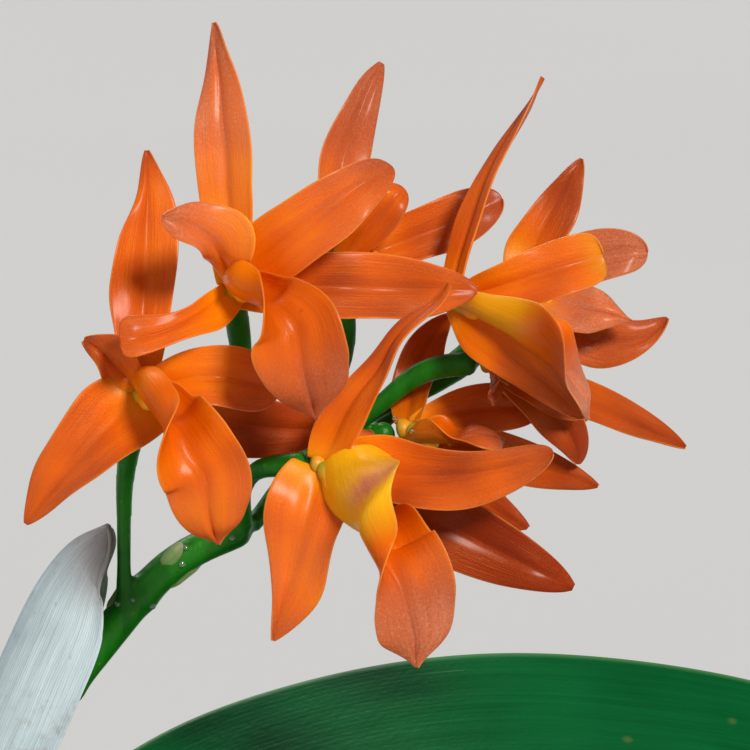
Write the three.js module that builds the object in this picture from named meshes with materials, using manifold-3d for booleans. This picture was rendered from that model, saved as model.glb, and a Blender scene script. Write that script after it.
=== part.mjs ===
// A potted Guarianthe aurantiaca in flower. Canes rise from a creeping rhizome in a clay pot of bark,
// each with leathery leaves at its top. The newest cane carries a dry papery flower sheath and a stalk
// with a head of eight orange blooms. Millimetres, +Z up, origin at the middle of the pot's foot.
import * as THREE from "three";
import { mergeVertices } from "three/addons/utils/BufferGeometryUtils.js";
import Module from "manifold-3d";

const wasm = await Module();
wasm.setup();

// Driving dimensions
const GAP = 0.35; // left between pieces that touch
const PETAL_THICK = 0.7;
const LEAF_THICK = 1.5;
const SHEATH_THICK = 0.8;
const TEPAL_START = 1; // from a bloom's middle to its tepals' roots
const TIP_WIDTH = 0.05; // a blade's end, as a share of its width
const WAIST_AT = 0.42; // where a lip narrows between its rolled sides and its front lobe
const WAIST_LONG = 0.12;
const ROOT_LIFT = 1.4; // a leaf's root above the top of its cane
const NECK = 2.6; // from a bloom's middle back to the end of its pedicel
const HEAD_AT = [11, -6, 297]; // the middle of the flower head
const VIEWED_FROM = 450;
const HEAD_TILT = 12; // degrees that the head leans back from upright

const POT = { height: 106, rim: 63, rimBand: 17, lip: 3.2, foot: 43, wall: 6, floor: 8 };
const POT_SLOPE = (POT.rim - POT.lip - POT.foot) / POT.height;
const DRAIN = { holes: 5, radius: 5, ring: 25 };
const BARK = { top: 95, chips: 22, chip: [21, 13, 6], seed: 11, hollow: 15 };

// Blade outlines: how broad the root is, how fast it swells, how slowly it closes at the tip, and how far
// the sides roll up at the root and at the tip, in radians
const OUTLINE = {
  sepal: { root: 0.1, swell: 0.75, taper: 0.72, cup: [0.55, 0.3] },
  petal: { root: 0.05, swell: 0.8, taper: 0.48, cup: [0.5, 0.25] },
  lip: { root: 0.35, swell: 0.35, taper: 0.42, cup: [2.55, -0.2] },
  leaf: { root: 0.03, swell: 0.5, taper: 0.5, cup: [0.5, 0.35] },
  spathe: { root: 0.05, swell: 0.3, taper: 0.45, cup: [1.45, 1.75] },
};

// Round pieces, from their start to their end
const PEDICEL_RADII = [0.9, 0.75, 0.8, 1.15, 1.3];
const CUP_RADII = [1.35, 1.9];
const COLUMN = { radii: [1.2, 1.35, 0.8], length: 6.5 };
const LIP_OPEN = [0.2, 0.6]; // the stretch over which a lip's rolled sides open into its front lobe
const LIP_DROP = 1.5; // the lip's root lies this far below the bloom's middle

const NEAR_GRID = { rows: 5, lipRows: 7, lipColumns: 6 };
const FAR_GRID = { rows: 4, lipRows: 6, lipColumns: 4 };
const HIDDEN = { rows: 4, columns: 2 }; // tepals that the rest of the head covers

// Each tepal runs from its bloom's middle through "via" to "tip", in mm in the head's frame: x right, y up,
// z to the front. "face" is where its upper side looks, at the root and, where it twists, at the tip.
const BLOOMS = [
  {
    name: "bloom_1_upper_left",
    at: [-14.3, 8.7, 9],
    pedicel: [[-15, -17, -3], [-13.9, -10.5, -2], [-13.5, -4.5, 0], [-13.4, 2, 3], [-14, 6.6, 6.5]],
    sepals: [
      { via: [-15.1, 22.5, 7], tip: [-16.4, 35.4, 5], wide: 6.1, face: [-0.3, 0.1, 1] },
      { via: [-19.6, 5.7, 13.5], tip: [-25.6, 1.8, 15.5], wide: 6.4, face: [0, 0.1, 1] },
      { via: [-0.8, 8.7, 7.5], tip: [10.3, 8.6, 7], wide: 7.2, face: [0, 0.15, 1] },
    ],
    petals: [
      { via: [-17.4, 13, 14], tip: [-21.4, 16.4, 17], wide: 5.4, face: [-0.35, 0.4, 0.85] },
      { via: [-5.6, 15.6, 12], tip: [2.2, 20.8, 9], wide: 7.4, face: [0.1, 0.1, 1] },
    ],
    lip: {
      via: [-9.5, 5, 17],
      tip: [-5.9, -4.4, 15],
      wide: 9.8,
      face: [0, 1, 0.2],
      faceTip: [-0.1, 0.1, 1],
    },
  },
  {
    name: "bloom_2_left",
    at: [-23.5, -1.8, 9],
    pedicel: [[-25.1, -23.5, -3], [-25.1, -16.5, -1], [-25, -10.5, 2], [-24.6, -5.5, 5]],
    sepals: [
      { via: [-23, 11, 6], tip: [-22.8, 22.8, 4], wide: 6.5, face: [0.1, 0, 1] },
      { via: [-28.7, -7.7, 11], tip: [-35.1, -14.9, 10], wide: 7.4, face: [-0.1, 0.1, 1] },
      { via: [-13, -5, 4.2], tip: [-3.6, -5.2, 0.5], wide: 6.4, face: [0.1, -0.1, 1] },
    ],
    petals: [
      { via: [-26.6, 1.6, 10.5], tip: [-29.3, 3.8, 10.5], wide: 4.8, face: [-0.4, 0.3, 0.8] },
      { via: [-16.5, -0.3, 11], tip: [-9, -1.2, 8.5], wide: 6.6, face: [0.1, 0.3, 1] },
    ],
    lip: {
      via: [-17.8, -5.9, 16],
      tip: [-15.8, -17, 14],
      wide: 9.6,
      face: [0, 1, 0.2],
      faceTip: [-0.1, 0.1, 1],
    },
  },
  {
    name: "bloom_3_lower_middle",
    at: [-5.3, -8.9, 8],
    pedicel: [[-13, -15.3, -3], [-13, -11.5, 1], [-11.5, -9.4, 5], [-8.8, -8.9, 7]],
    sepals: [
      { via: [-1.1, -1, 10.5], tip: [7, 9.5, 13], wide: 5.4, face: [-0.1, 0, 1], faceTip: [-0.9, 0.3, 0.4] },
      { via: [-7.7, -17, 10], tip: [-10.3, -26.6, 10], wide: 8, face: [-0.15, 0, 1] },
      { via: [7.5, -15.3, 5], tip: [19.8, -21.3, 5], wide: 7.8, face: [0, -0.1, 1] },
    ],
    petals: [
      { via: [-3, -6.8, 5], tip: [-0.6, -5.2, 1.6], wide: 4, face: [0.3, 0.8, 0.3], rows: 4 },
      { via: [6.5, -10.1, 10.5], tip: [17.8, -7.7, 12], wide: 6.8, face: [0, 0.2, 1] },
    ],
    lip: {
      via: [1.2, -15.4, 15],
      tip: [4.2, -29.3, 15],
      wide: 9.4,
      face: [0.8, 0.6, 0.35],
      faceTip: [0.1, 0.1, 1],
      waist: 0.4,
    },
  },
  {
    name: "bloom_4_right",
    at: [7.7, 7.5, 2],
    pedicel: [[-12.5, -15, -3.5], [-6, -8.6, -8], [0, -3.8, -10], [6, -1, -11.5], [10, 2, -10], [10, 4.8, -5.5]],
    sepals: [
      { via: [10.6, 17.6, 1], tip: [16.6, 29.9, 0], wide: 4.4, face: [-0.75, 0.3, 0.6], faceTip: [-1, 0.5, 0.1] },
      { via: [13.7, 2.7, 5], tip: [19.1, -0.9, 5.5], wide: 5, face: [-0.2, -0.3, 1] },
      { via: [9.6, 10.2, -4], tip: [11.5, 11.5, -9.5], wide: 5, face: [-0.3, 0.9, 0.3], ...HIDDEN },
    ],
    petals: [
      { via: [15.8, 10.4, 4.5], tip: [23.1, 12.7, 3], wide: 6.8, face: [0, 0.1, 1] },
      { via: [6, 9, -4], tip: [4, 8.6, -9], wide: 5, face: [-0.6, 0.6, 0.2], ...HIDDEN },
    ],
    lip: {
      via: [15.5, 3.8, 3],
      tip: [21.3, -4, 5],
      wide: 9.5,
      face: [0.2, 1, 0.1],
      faceTip: [0.9, 0.3, 0.4],
    },
  },
  {
    name: "bloom_5_top",
    far: true,
    at: [-3.7, 11.1, -2],
    pedicel: [[-12.5, -15.5, -4], [-6, -5, -7], [-3.2, 2, -7], [-2.6, 6, -6]],
    sepals: [
      { via: [-3.2, 21.2, -3.5], tip: [0.9, 31.3, -6], wide: 5.4, face: [0.3, 0, 1] },
      { via: [-8, 12, -9], tip: [-10.5, 12.5, -15], wide: 5, face: [-0.3, 0.8, 0.3], ...HIDDEN },
      { via: [-0.6, 11, -10], tip: [0.8, 10, -18], wide: 5, face: [0, 1, 0], ...HIDDEN },
    ],
    petals: [
      { via: [-0.6, 15.1, 1.2], tip: [3, 18.8, 1], wide: 4.4, face: [0.2, 0.2, 1] },
      { via: [5.3, 14.3, -5], tip: [12.7, 17.8, -6], wide: 5.8, face: [0, 0.1, 1] },
    ],
    lip: {
      via: [0.5, 9.8, 1.5],
      tip: [4, 7.2, -1],
      wide: 7,
      face: [0, 1, 0.2],
      faceTip: [0.5, 0.3, 1],
    },
  },
  {
    name: "bloom_6_right_back",
    far: true,
    at: [14.5, 8.8, -12],
    pedicel: [[-11.5, -14, -4], [-3, -8, -11], [5, -1, -15], [10, 3, -15.6], [12.5, 5.8, -14.2]],
    sepals: [
      { via: [17.1, 15.8, -13], tip: [20.7, 21.7, -14], wide: 6.2, face: [-0.1, 0.1, 1] },
      { via: [23.3, 3.2, -13], tip: [29.3, 5.7, -13], wide: 6, face: [0, 0.1, 1] },
      { via: [10, 11.5, -17], tip: [6.5, 12, -22], wide: 5, face: [-0.3, 0.9, 0], ...HIDDEN },
    ],
    petals: [
      { via: [15.5, 10, -19], tip: [15, 10, -26], wide: 5, face: [0, 1, 0.2], ...HIDDEN },
      { via: [21.3, 11.6, -11], tip: [27.3, 12.2, -11], wide: 5.6, face: [0, 0.1, 1] },
    ],
    lip: {
      via: [20, 6.6, -9],
      tip: [25.7, 5.3, -9],
      wide: 7,
      face: [0, 1, 0.2],
      faceTip: [0, 0.5, 1],
    },
  },
  {
    name: "bloom_7_lower_right",
    far: true,
    at: [3.3, -5.3, -3],
    pedicel: [[-11.8, -14.4, -4], [-6.5, -9, -6], [-2, -6, -5]],
    sepals: [
      { via: [4.4, 1, -6.3], tip: [7.5, 6.1, -7], wide: 4.6, face: [-0.2, 0, 1] },
      { via: [12.5, -7.9, -6], tip: [22.3, -11.1, -5], wide: 5, face: [0, 0.2, 1] },
      { via: [8.5, -11, -5.5], tip: [15.2, -15.2, -4], wide: 5, face: [0, 0.2, 1] },
    ],
    petals: [
      { via: [3.6, -5.6, -9], tip: [3, -6.5, -15], wide: 5, face: [-0.8, 0.5, 0.1], ...HIDDEN },
      { via: [10, -3.4, -4.5], tip: [16.7, -3.3, -5], wide: 5, face: [0, 0.2, 1] },
    ],
    lip: {
      via: [8.5, -6.5, -0.5],
      tip: [13, -6.6, -2],
      wide: 6.4,
      face: [0, 1, 0.2],
      faceTip: [0.2, 0.8, 1],
    },
  },
  {
    name: "bloom_8_far_right",
    far: true,
    at: [11.7, 1.2, -1],
    pedicel: [[-11, -13.4, -3.5], [-6, -8.2, -3.5], [0, -3.3, -3], [5, 0.4, -2.5], [8.6, 1.5, -2]],
    sepals: [
      { via: [17.3, -1.8, -0.4], tip: [21.5, -4.6, -0.4], wide: 5.6, face: [0, -0.3, 1] },
      { via: [17.3, -3.8, -3.5], tip: [19.6, -8.9, -4], wide: 5.4, face: [0.1, 0, 1] },
      { via: [22, -3.2, -5.5], tip: [31.2, -7.2, -8], wide: 4.8, face: [0, 0.3, 1] },
    ],
    petals: [
      { via: [12, -0.8, 0.6], tip: [12, -2.2, 3], wide: 3.4, face: [1, 0, 0.1], ...HIDDEN },
      { via: [14.5, 3.5, -6], tip: [17.5, 2.2, -9.5], wide: 5, face: [0.1, 1, 0.3], ...HIDDEN },
    ],
    lip: {
      via: [18.5, 0.2, -3.5],
      tip: [23, -1.5, -6],
      wide: 6.4,
      face: [0, 1, 0.2],
      faceTip: [0.4, 0.8, 0.2],
    },
  },
];

// The flower stalk's own line, from the top of the cane to where the pedicels leave it
const STALK = {
  line: [
    [-49.5, -73.8, -5],
    [-43.6, -57, -5],
    [-34.6, -36.4, -4.5],
    [-27.5, -26.8, -4],
    [-20, -18.8, -3.5],
    [-12.5, -15.2, -3.5],
  ],
  radii: [2.6, 2.4, 2.2, 2.0, 1.8, 1.6],
};

// The dry sheath that the stalk came out of: folded along its left side, open to the right
const SPATHE = {
  path: [
    [-54.7, -70.2, -5],
    [-48, -54, -5],
    [-40.6, -36, -4.7],
    [-36.9, -27, -4.5],
    [-33.6, -20.6, -4],
    [-30.4, -16.9, -3],
    [-26.8, -15.1, -2],
  ],
  wide: 20,
  face: [0.94, -0.34, 0.05],
  faceTip: [0.5, -0.86, 0.1],
  crease: 0.45,
};

// Canes stand in a row along the rhizome, oldest first. Radii run from the foot to the top.
const RHIZOME = {
  line: [[42, 24, 94.5], [26, 15, 96], [9, 5, 96.5], [-8, -4, 96.5], [-25, -12, 96.5], [-39, -18, 96]],
  radius: 4.2,
};
const CANES = [
  {
    name: "cane_5_oldest",
    foot: [37, 20.8, 98.5],
    via: [46, 30.6, 122],
    top: [52, 42, 150],
    radii: [3.6, 4.4, 7.0, 7.4, 6.0, 4.2],
  },
  {
    name: "cane_4",
    foot: [23, 13, 98.5],
    via: [30, 16, 136],
    top: [41, 25, 174],
    radii: [3.8, 4.6, 7.6, 8.4, 7.2, 5.6],
  },
  {
    name: "cane_3",
    foot: [8, 4.5, 98.5],
    via: [10, 2, 142],
    top: [21, -4, 184],
    radii: [3.8, 4.8, 8.0, 9.2, 7.4, 5.6],
  },
  {
    name: "cane_2",
    foot: [-9, -4.5, 98.5],
    via: [-10, 6, 148],
    top: [-3, 20, 194],
    radii: [4.0, 5.0, 8.2, 9.6, 7.6, 5.6],
  },
  {
    name: "cane_1_flowering",
    foot: [-26, -12.5, 98.5],
    via: [-33, -16, 160],
    top: [-38.5, -16.5, 222.5],
    radii: [4.0, 5.2, 8.6, 10, 8.8, 7.6],
  },
];

// Each leaf starts beside the top of its cane and runs through "via" to "tip"
const LEAVES = [
  {
    name: "leaf_1_right",
    cane: "cane_1_flowering",
    via: [20, -11, 253.8],
    tip: [96, -6, 235],
    wide: 44,
    face: [0, -0.16, 1],
  },
  {
    name: "leaf_1_left",
    cane: "cane_1_flowering",
    via: [-86, -8, 270],
    tip: [-138, 6, 250],
    wide: 38,
    face: [0.3, -0.15, 1],
    lift: 0.7,
  },
  {
    name: "leaf_2_left",
    cane: "cane_2",
    via: [-42, 52, 224],
    tip: [-86, 84, 204],
    wide: 36,
    face: [0.1, -0.2, 1],
  },
  {
    name: "leaf_2_right",
    cane: "cane_2",
    via: [36, -12, 222],
    tip: [82, -44, 204],
    wide: 36,
    face: [-0.1, 0.1, 1],
  },
  {
    name: "leaf_3_front",
    cane: "cane_3",
    via: [10, -56, 212],
    tip: [-8, -108, 192],
    wide: 36,
    face: [0, 0.2, 1],
  },
  {
    name: "leaf_3_back",
    cane: "cane_3",
    via: [60, 24, 214],
    tip: [108, 52, 198],
    wide: 34,
    face: [-0.2, 0, 1],
  },
  {
    name: "leaf_4_front",
    cane: "cane_4",
    via: [84, 4, 188],
    tip: [126, -12, 166],
    wide: 33,
    face: [-0.2, 0, 1],
  },
  {
    name: "leaf_4_back",
    cane: "cane_4",
    via: [24, 74, 198],
    tip: [8, 118, 176],
    wide: 32,
    face: [0, -0.2, 1],
  },
];

// Thick pale roots leave the rhizome, lie on the bark and dive into it
const ROOTS = [
  [[-34, -16, 96], [-44, -20, 98.5], [-50, -10, 95], [-48, -2, 86]],
  [[-30, -14, 95], [-32, -26, 97], [-27, -35, 96], [-18, -41, 86]],
  [[-20, -10, 95], [-14, -22, 97], [-2, -30, 96], [8, -38, 86]],
  [[-14, -7, 95], [-20, 8, 97], [-32, 18, 96], [-38, 28, 86]],
  [[0, 0, 95], [6, -12, 97], [20, -20, 96], [30, -26, 86]],
  [[4, 3, 95], [0, 18, 97], [-10, 32, 96], [-14, 42, 86]],
  [[18, 10, 95], [12, 24, 97], [15, 34, 95], [20, 41, 86]],
  [[32, 18, 95], [38, 6, 97], [43, -6, 95], [42, -17, 86]],
];
const ROOT_RADIUS = [1.7, 1.5, 1.4, 1.2];

const vec = (p) => new THREE.Vector3(...p);
const lerp = THREE.MathUtils.lerp;
const smooth = (t) => THREE.MathUtils.smoothstep(t, 0, 1);
const sinc = (a) => (Math.abs(a) < 1e-6 ? 1 : Math.sin(a) / a);

// A small seeded random source, so that the bark is the same every time
function seeded(seed) {
  let state = seed;
  return () => {
    state = (state * 1664525 + 1013904223) % 4294967296;
    return state / 4294967296;
  };
}

// A value read from a list that is spread evenly from 0 to 1
function along(list, t) {
  const at = Math.min(t, 1) * (list.length - 1);
  const i = Math.min(Math.floor(at), list.length - 2);
  return lerp(list[i], list[i + 1], at - i);
}

// A closed three.js geometry as a solid that can be joined and cut
function solid(geometry) {
  const bare = geometry.clone();
  for (const extra of ["normal", "uv"]) bare.deleteAttribute(extra);
  const merged = mergeVertices(bare, 1e-4);
  return new wasm.Manifold(
    new wasm.Mesh({
      numProp: 3,
      vertProperties: merged.attributes.position.array,
      triVerts: new Uint32Array(merged.index.array),
    }),
  );
}

function geometryOf(made) {
  const mesh = made.getMesh();
  return new THREE.BufferGeometry()
    .setAttribute("position", new THREE.BufferAttribute(mesh.vertProperties, 3))
    .setIndex(new THREE.BufferAttribute(mesh.triVerts, 1));
}

const join = (solids) => solids.reduce((sum, next) => sum.add(next));

// The biggest body of a solid, without the crumbs and closed hollows that joining can leave
const whole = (made) => made.decompose().reduce((best, next) => (next.volume() > best.volume() ? next : best));

// The curve that passes through three points
function arc(from, via, to) {
  const handle = vec(via).multiplyScalar(2).sub(vec(from).add(vec(to)).multiplyScalar(0.5));
  return new THREE.QuadraticBezierCurve3(vec(from), handle, vec(to));
}

// Puts a shape that stands on Y from 0 to 1 onto a stretch of a curve
function bend(geometry, curve, rings, from = 0, to = 1) {
  const frames = curve.computeFrenetFrames(rings, false);
  const at = geometry.attributes.position;
  for (let i = 0; i < at.count; i++) {
    const t = lerp(from, to, at.getY(i));
    const ring = Math.min(Math.floor(t * rings), rings - 1);
    const part = t * rings - ring;
    const right = frames.normals[ring].clone().lerp(frames.normals[ring + 1], part);
    const front = frames.binormals[ring].clone().lerp(frames.binormals[ring + 1], part);
    const p = curve.getPointAt(t).addScaledVector(right, at.getX(i)).addScaledVector(front, -at.getZ(i));
    at.setXYZ(i, p.x, p.y, p.z);
  }
  return geometry;
}

// A round stem along a curve, with a radius that changes on the way
function stem(curve, radii, sides = 8, rings = 8) {
  const shape = new THREE.CylinderGeometry(1, 1, 1, sides, rings).translate(0, 0.5, 0);
  const at = shape.attributes.position;
  for (let i = 0; i < at.count; i++) {
    const r = along(radii, at.getY(i));
    at.setXYZ(i, at.getX(i) * r, at.getY(i), at.getZ(i) * r);
  }
  return bend(shape, curve, rings);
}

// A thin leaf-like blade round a curved midrib. "crease" 1 rolls it round and 0 folds it flat along the
// midrib, "open" is where the roll at the root turns into the roll at the tip.
function blade(spec) {
  const { base, via, tip, path, wide, outline, thick = PETAL_THICK, rows = 5, columns = 4 } = spec;
  const { cup = outline.cup, open = [0, 1], crease = 1, waist = 0 } = spec;
  const curve = path ? new THREE.CatmullRomCurve3(path.map(vec), false, "centripetal") : arc(base, via, tip);
  const face = [vec(spec.face), vec(spec.faceTip ?? spec.face)];
  const breadth = (s) => Math.pow(1 - s, outline.taper) * Math.pow(s + outline.root, outline.swell);
  const widest = (outline.swell - outline.taper * outline.root) / (outline.swell + outline.taper);
  const most = breadth(Math.max(widest, 0));

  const point = (s, v) => {
    const run = curve.getTangent(s);
    const up = face[0].clone().lerp(face[1], smooth(s));
    up.addScaledVector(run, -up.dot(run)).normalize();
    const side = new THREE.Vector3().crossVectors(run, up);
    const roll = lerp(cup[0], cup[1], THREE.MathUtils.smoothstep(s, ...open));
    const pinch = 1 - waist * Math.exp(-Math.pow((s - WAIST_AT) / WAIST_LONG, 2));
    const half = (wide / 2) * pinch * Math.max(breadth(s) / most, TIP_WIDTH);
    const lean = (roll * Math.pow(Math.abs(v), crease)) / (1 + crease);
    const out = half * v * sinc(crease * lean);
    return curve
      .getPoint(s)
      .addScaledVector(side, out * Math.cos(lean))
      .addScaledVector(up, Math.abs(out) * Math.sin(lean));
  };
  const STEP = 1e-3;
  const normal = (s, v) => {
    const across = point(s, v + STEP).sub(point(s, v - STEP));
    const on = Math.min(s, 1 - 2 * STEP);
    const lengthways = point(on + STEP, v).sub(point(Math.max(on - STEP, 0), v));
    return across.cross(lengthways).normalize();
  };

  const positions = [];
  for (const level of [0.5, -0.5])
    for (let i = 0; i <= rows; i++)
      for (let j = 0; j <= columns; j++) {
        const s = i / rows;
        const v = (2 * j) / columns - 1;
        positions.push(...point(s, v).addScaledVector(normal(s, v), level * thick));
      }
  const upper = (i, j) => i * (columns + 1) + j;
  const lower = (i, j) => upper(i, j) + (rows + 1) * (columns + 1);
  const faces = [];
  const quad = (a, b, c, d) => faces.push(a, b, c, a, c, d);
  for (let i = 0; i < rows; i++)
    for (let j = 0; j < columns; j++) {
      quad(upper(i, j), upper(i, j + 1), upper(i + 1, j + 1), upper(i + 1, j));
      faces.push(lower(i, j), lower(i + 1, j + 1), lower(i, j + 1));
      faces.push(lower(i, j), lower(i + 1, j), lower(i + 1, j + 1));
    }
  for (let i = 0; i < rows; i++) {
    quad(upper(i, 0), upper(i + 1, 0), lower(i + 1, 0), lower(i, 0));
    quad(upper(i + 1, columns), upper(i, columns), lower(i, columns), lower(i + 1, columns));
  }
  for (let j = 0; j < columns; j++) {
    quad(upper(0, j + 1), upper(0, j), lower(0, j), lower(0, j + 1));
    quad(upper(rows, j), upper(rows, j + 1), lower(rows, j + 1), lower(rows, j));
  }
  return new THREE.BufferGeometry()
    .setAttribute("position", new THREE.Float32BufferAttribute(positions, 3))
    .setIndex(faces);
}

// The head's rows give every point as it lines up from VIEWED_FROM in front, so near points are drawn in
const placed = ([x, y, z]) => {
  const near = 1 - z / VIEWED_FROM;
  return [x * near, y * near, z];
};
const placedBlade = (row) => ({ ...row, via: placed(row.via), tip: placed(row.tip) });
const blooms = BLOOMS.map((row) => ({
  name: row.name,
  far: row.far,
  at: placed(row.at),
  pedicel: row.pedicel.map(placed),
  sepals: row.sepals.map(placedBlade),
  petals: row.petals.map(placedBlade),
  lip: placedBlade(row.lip),
}));

// The way from a bloom's middle back to its pedicel
const backwards = (bloom) => vec(bloom.pedicel.at(-1)).sub(vec(bloom.at)).normalize();

// One bloom: three sepals, two petals and a lip rolled round the column, all grown from one small cup
function bloomSolid(bloom) {
  const { rows, lipRows, lipColumns } = bloom.far ? FAR_GRID : NEAR_GRID;
  const middle = vec(bloom.at);
  const beside = (way, far) => middle.clone().addScaledVector(way, far);
  const back = backwards(bloom);
  const cup = new THREE.LineCurve3(beside(back, NECK - GAP), beside(back, -1));
  const parts = [stem(cup, CUP_RADII, 6, 1)];
  const grow = (tepal, outline) => {
    const way = vec(tepal.via).sub(middle).normalize();
    return blade({ rows, ...tepal, outline, base: beside(way, TEPAL_START).toArray() });
  };
  for (const sepal of bloom.sepals) parts.push(grow(sepal, OUTLINE.sepal));
  for (const petal of bloom.petals) parts.push(grow(petal, OUTLINE.petal));

  // The lip's root sits below the middle, so that its rolled sides close round the column
  const { lip } = bloom;
  const base = beside(vec(lip.face).normalize(), -LIP_DROP).toArray();
  const grid = { rows: lipRows, columns: lipColumns, open: LIP_OPEN };
  parts.push(blade({ ...grid, ...lip, base, outline: OUTLINE.lip }));
  const forward = arc(bloom.at, lip.via, lip.tip).getTangent(0);
  const column = new THREE.LineCurve3(middle, beside(forward, COLUMN.length));
  parts.push(stem(column, COLUMN.radii, 5, 2));
  return whole(join(parts.map(solid)));
}

// The stalk and its pedicels, each thickening into the ovary behind its bloom
function stalkSolid() {
  const line = new THREE.CatmullRomCurve3(STALK.line.map(vec), false, "centripetal");
  const parts = [stem(line, STALK.radii, 9, 8)];
  for (const bloom of blooms) {
    const end = vec(bloom.at).addScaledVector(backwards(bloom), NECK);
    const points = [...bloom.pedicel.slice(0, -1).map(vec), end];
    const curve = new THREE.CatmullRomCurve3(points, false, "centripetal");
    parts.push(stem(curve, PEDICEL_RADII, 6, 6));
  }
  return join(parts.map(solid));
}

const caneCurve = (cane) => arc(cane.foot, cane.via, cane.top);

// A dry papery sleeve that wraps the lower part of a cane, with a torn upper edge
function sleeveGeometry(cane, from, to) {
  const SIDES = 10;
  const TEAR = 0.12;
  const RINGS = 24;
  const inner = (y) => along(cane.radii, lerp(from, to, y)) + 2 * GAP;
  const levels = [0, 0.5, 1];
  const profile = levels.map((y) => new THREE.Vector2(inner(y) + SHEATH_THICK, y));
  for (const y of [...levels].reverse()) profile.push(new THREE.Vector2(inner(y), y));
  profile.push(profile[0].clone());
  const shape = new THREE.LatheGeometry(profile, SIDES);
  const at = shape.attributes.position;
  for (let i = 0; i < at.count; i++) {
    const turn = Math.atan2(at.getZ(i), at.getX(i));
    const torn = 1 - TEAR * (1 + Math.sin(2 * turn) + 0.6 * Math.cos(5 * turn)) * at.getY(i);
    at.setY(i, at.getY(i) * torn);
  }
  return bend(shape, caneCurve(cane), RINGS, from, to);
}

// A leaf's root starts just outside the top of its cane, on the side that the leaf leaves by
function leafGeometry(leaf) {
  const ROOT_IN = 1.1;
  const cane = CANES.find((c) => c.name === leaf.cane);
  const top = vec(cane.top);
  const out = vec(leaf.via).sub(top).setZ(0).normalize();
  const lift = new THREE.Vector3(0, 0, leaf.lift ?? ROOT_LIFT);
  const base = top.addScaledVector(out, cane.radii.at(-1) - ROOT_IN).add(lift).toArray();
  return blade({ ...leaf, base, outline: OUTLINE.leaf, thick: LEAF_THICK, rows: 8, crease: 0.35 });
}

function potSolid() {
  const { height, rim, rimBand, lip, foot, wall, floor } = POT;
  const ROUND = 1.6;
  const outer = (z) => foot + POT_SLOPE * z;
  const profile = [
    [0, 0],
    [foot - ROUND, 0],
    [foot, ROUND],
    [outer(height - rimBand), height - rimBand],
    [outer(height - rimBand) + lip, height - rimBand + 1.2],
    [rim, height - ROUND],
    [rim - ROUND, height],
    [rim - wall - ROUND, height],
    [rim - wall - lip, height - ROUND * 2],
    [foot - wall + POT_SLOPE * floor, floor],
    [0, floor],
  ].map(([x, y]) => new THREE.Vector2(x, y));
  let pot = solid(new THREE.LatheGeometry(profile, 32).rotateX(Math.PI / 2));
  for (let i = 0; i < DRAIN.holes; i++) {
    const turn = (2 * Math.PI * (i + 0.5)) / DRAIN.holes;
    const cutter = new THREE.CylinderGeometry(DRAIN.radius, DRAIN.radius, 4 * floor, 8).rotateX(Math.PI / 2);
    cutter.translate(DRAIN.ring * Math.cos(turn), DRAIN.ring * Math.sin(turn), 0);
    pot = pot.subtract(solid(cutter));
  }
  return pot;
}

// Bark mix: a plain core that fills the pot, with chips standing out of its top
function barkSolid(cutters) {
  const random = seeded(BARK.seed);
  const { foot, wall, floor } = POT;
  const inner = (z) => foot - wall + POT_SLOPE * z - GAP;
  const profile = [
    [0, floor + GAP],
    [inner(floor), floor + GAP],
    [inner(BARK.top - 4) - 0.6, BARK.top - 4],
    [inner(BARK.top - 4) - 2, BARK.top - 3],
    [0, BARK.top - 2],
  ].map(([x, y]) => new THREE.Vector2(x, y));
  const parts = [solid(new THREE.LatheGeometry(profile, 32).rotateX(Math.PI / 2))];
  const reach = inner(BARK.top) - BARK.hollow;
  for (let i = 0; i < BARK.chips; i++) {
    const chip = mergeVertices(bareBox(BARK.chip.map((side) => side * (0.7 + 0.6 * random()))));
    const at = chip.attributes.position;
    for (let k = 0; k < at.count; k++)
      at.setXYZ(k, at.getX(k) + 2 * random() - 1, at.getY(k) + 2 * random() - 1, at.getZ(k) + 1.2 * random() - 0.6);
    chip.rotateX(0.7 * random() - 0.35);
    chip.rotateY(0.7 * random() - 0.35);
    chip.rotateZ(2 * Math.PI * random());
    const far = reach * Math.sqrt((i + 0.5) / BARK.chips);
    const turn = i * Math.PI * (3 - Math.sqrt(5));
    chip.translate(far * Math.cos(turn), far * Math.sin(turn), BARK.top - 2.2 + 1.6 * random());
    parts.push(solid(chip));
  }
  return whole(cutters.reduce((left, cutter) => left.subtract(cutter), join(parts)));
}

function bareBox(sides) {
  const box = new THREE.BoxGeometry(...sides);
  for (const extra of ["normal", "uv"]) box.deleteAttribute(extra);
  return box;
}

// The rhizome with its roots; "grow" makes the slightly larger copy that is cut out of the bark
function rhizomeSolid(grow = 0) {
  const line = new THREE.CatmullRomCurve3(RHIZOME.line.map(vec), false, "centripetal");
  const r = RHIZOME.radius;
  const body = stem(line, [r * 0.75, r, r, r, r, r, r, r * 0.5].map((x) => x + grow), 8, 8);
  const parts = [body];
  for (const root of ROOTS) {
    const curve = new THREE.CatmullRomCurve3(root.map(vec), false, "centripetal");
    parts.push(stem(curve, ROOT_RADIUS.map((x) => x + grow), 5, 5));
  }
  return join(parts.map(solid));
}

function caneSolid(cane, grow = 0) {
  return solid(stem(caneCurve(cane), cane.radii.map((x) => x + grow), 10, 6));
}

const finish = (color, roughness) => new THREE.MeshStandardMaterial({ color, roughness, metalness: 0 });
const clay = finish("#b5673f", 0.85);
const barkBrown = finish("#5a3a24", 0.95);
const rootGrey = finish("#9a9a80", 0.9);
const caneGreen = finish("#6f8a35", 0.5);
const leafGreen = finish("#1f6a34", 0.42);
const paperGrey = finish("#c9c3b6", 0.9);
const stalkGreen = finish("#2f8a1e", 0.45);
const petalOrange = finish("#f0640e", 0.5);

function piece(name, made, material) {
  const mesh = new THREE.Mesh(made instanceof THREE.BufferGeometry ? made : geometryOf(made), material);
  mesh.name = name;
  return mesh;
}

const plant = new THREE.Group();
plant.name = "potted_orchid";

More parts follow.
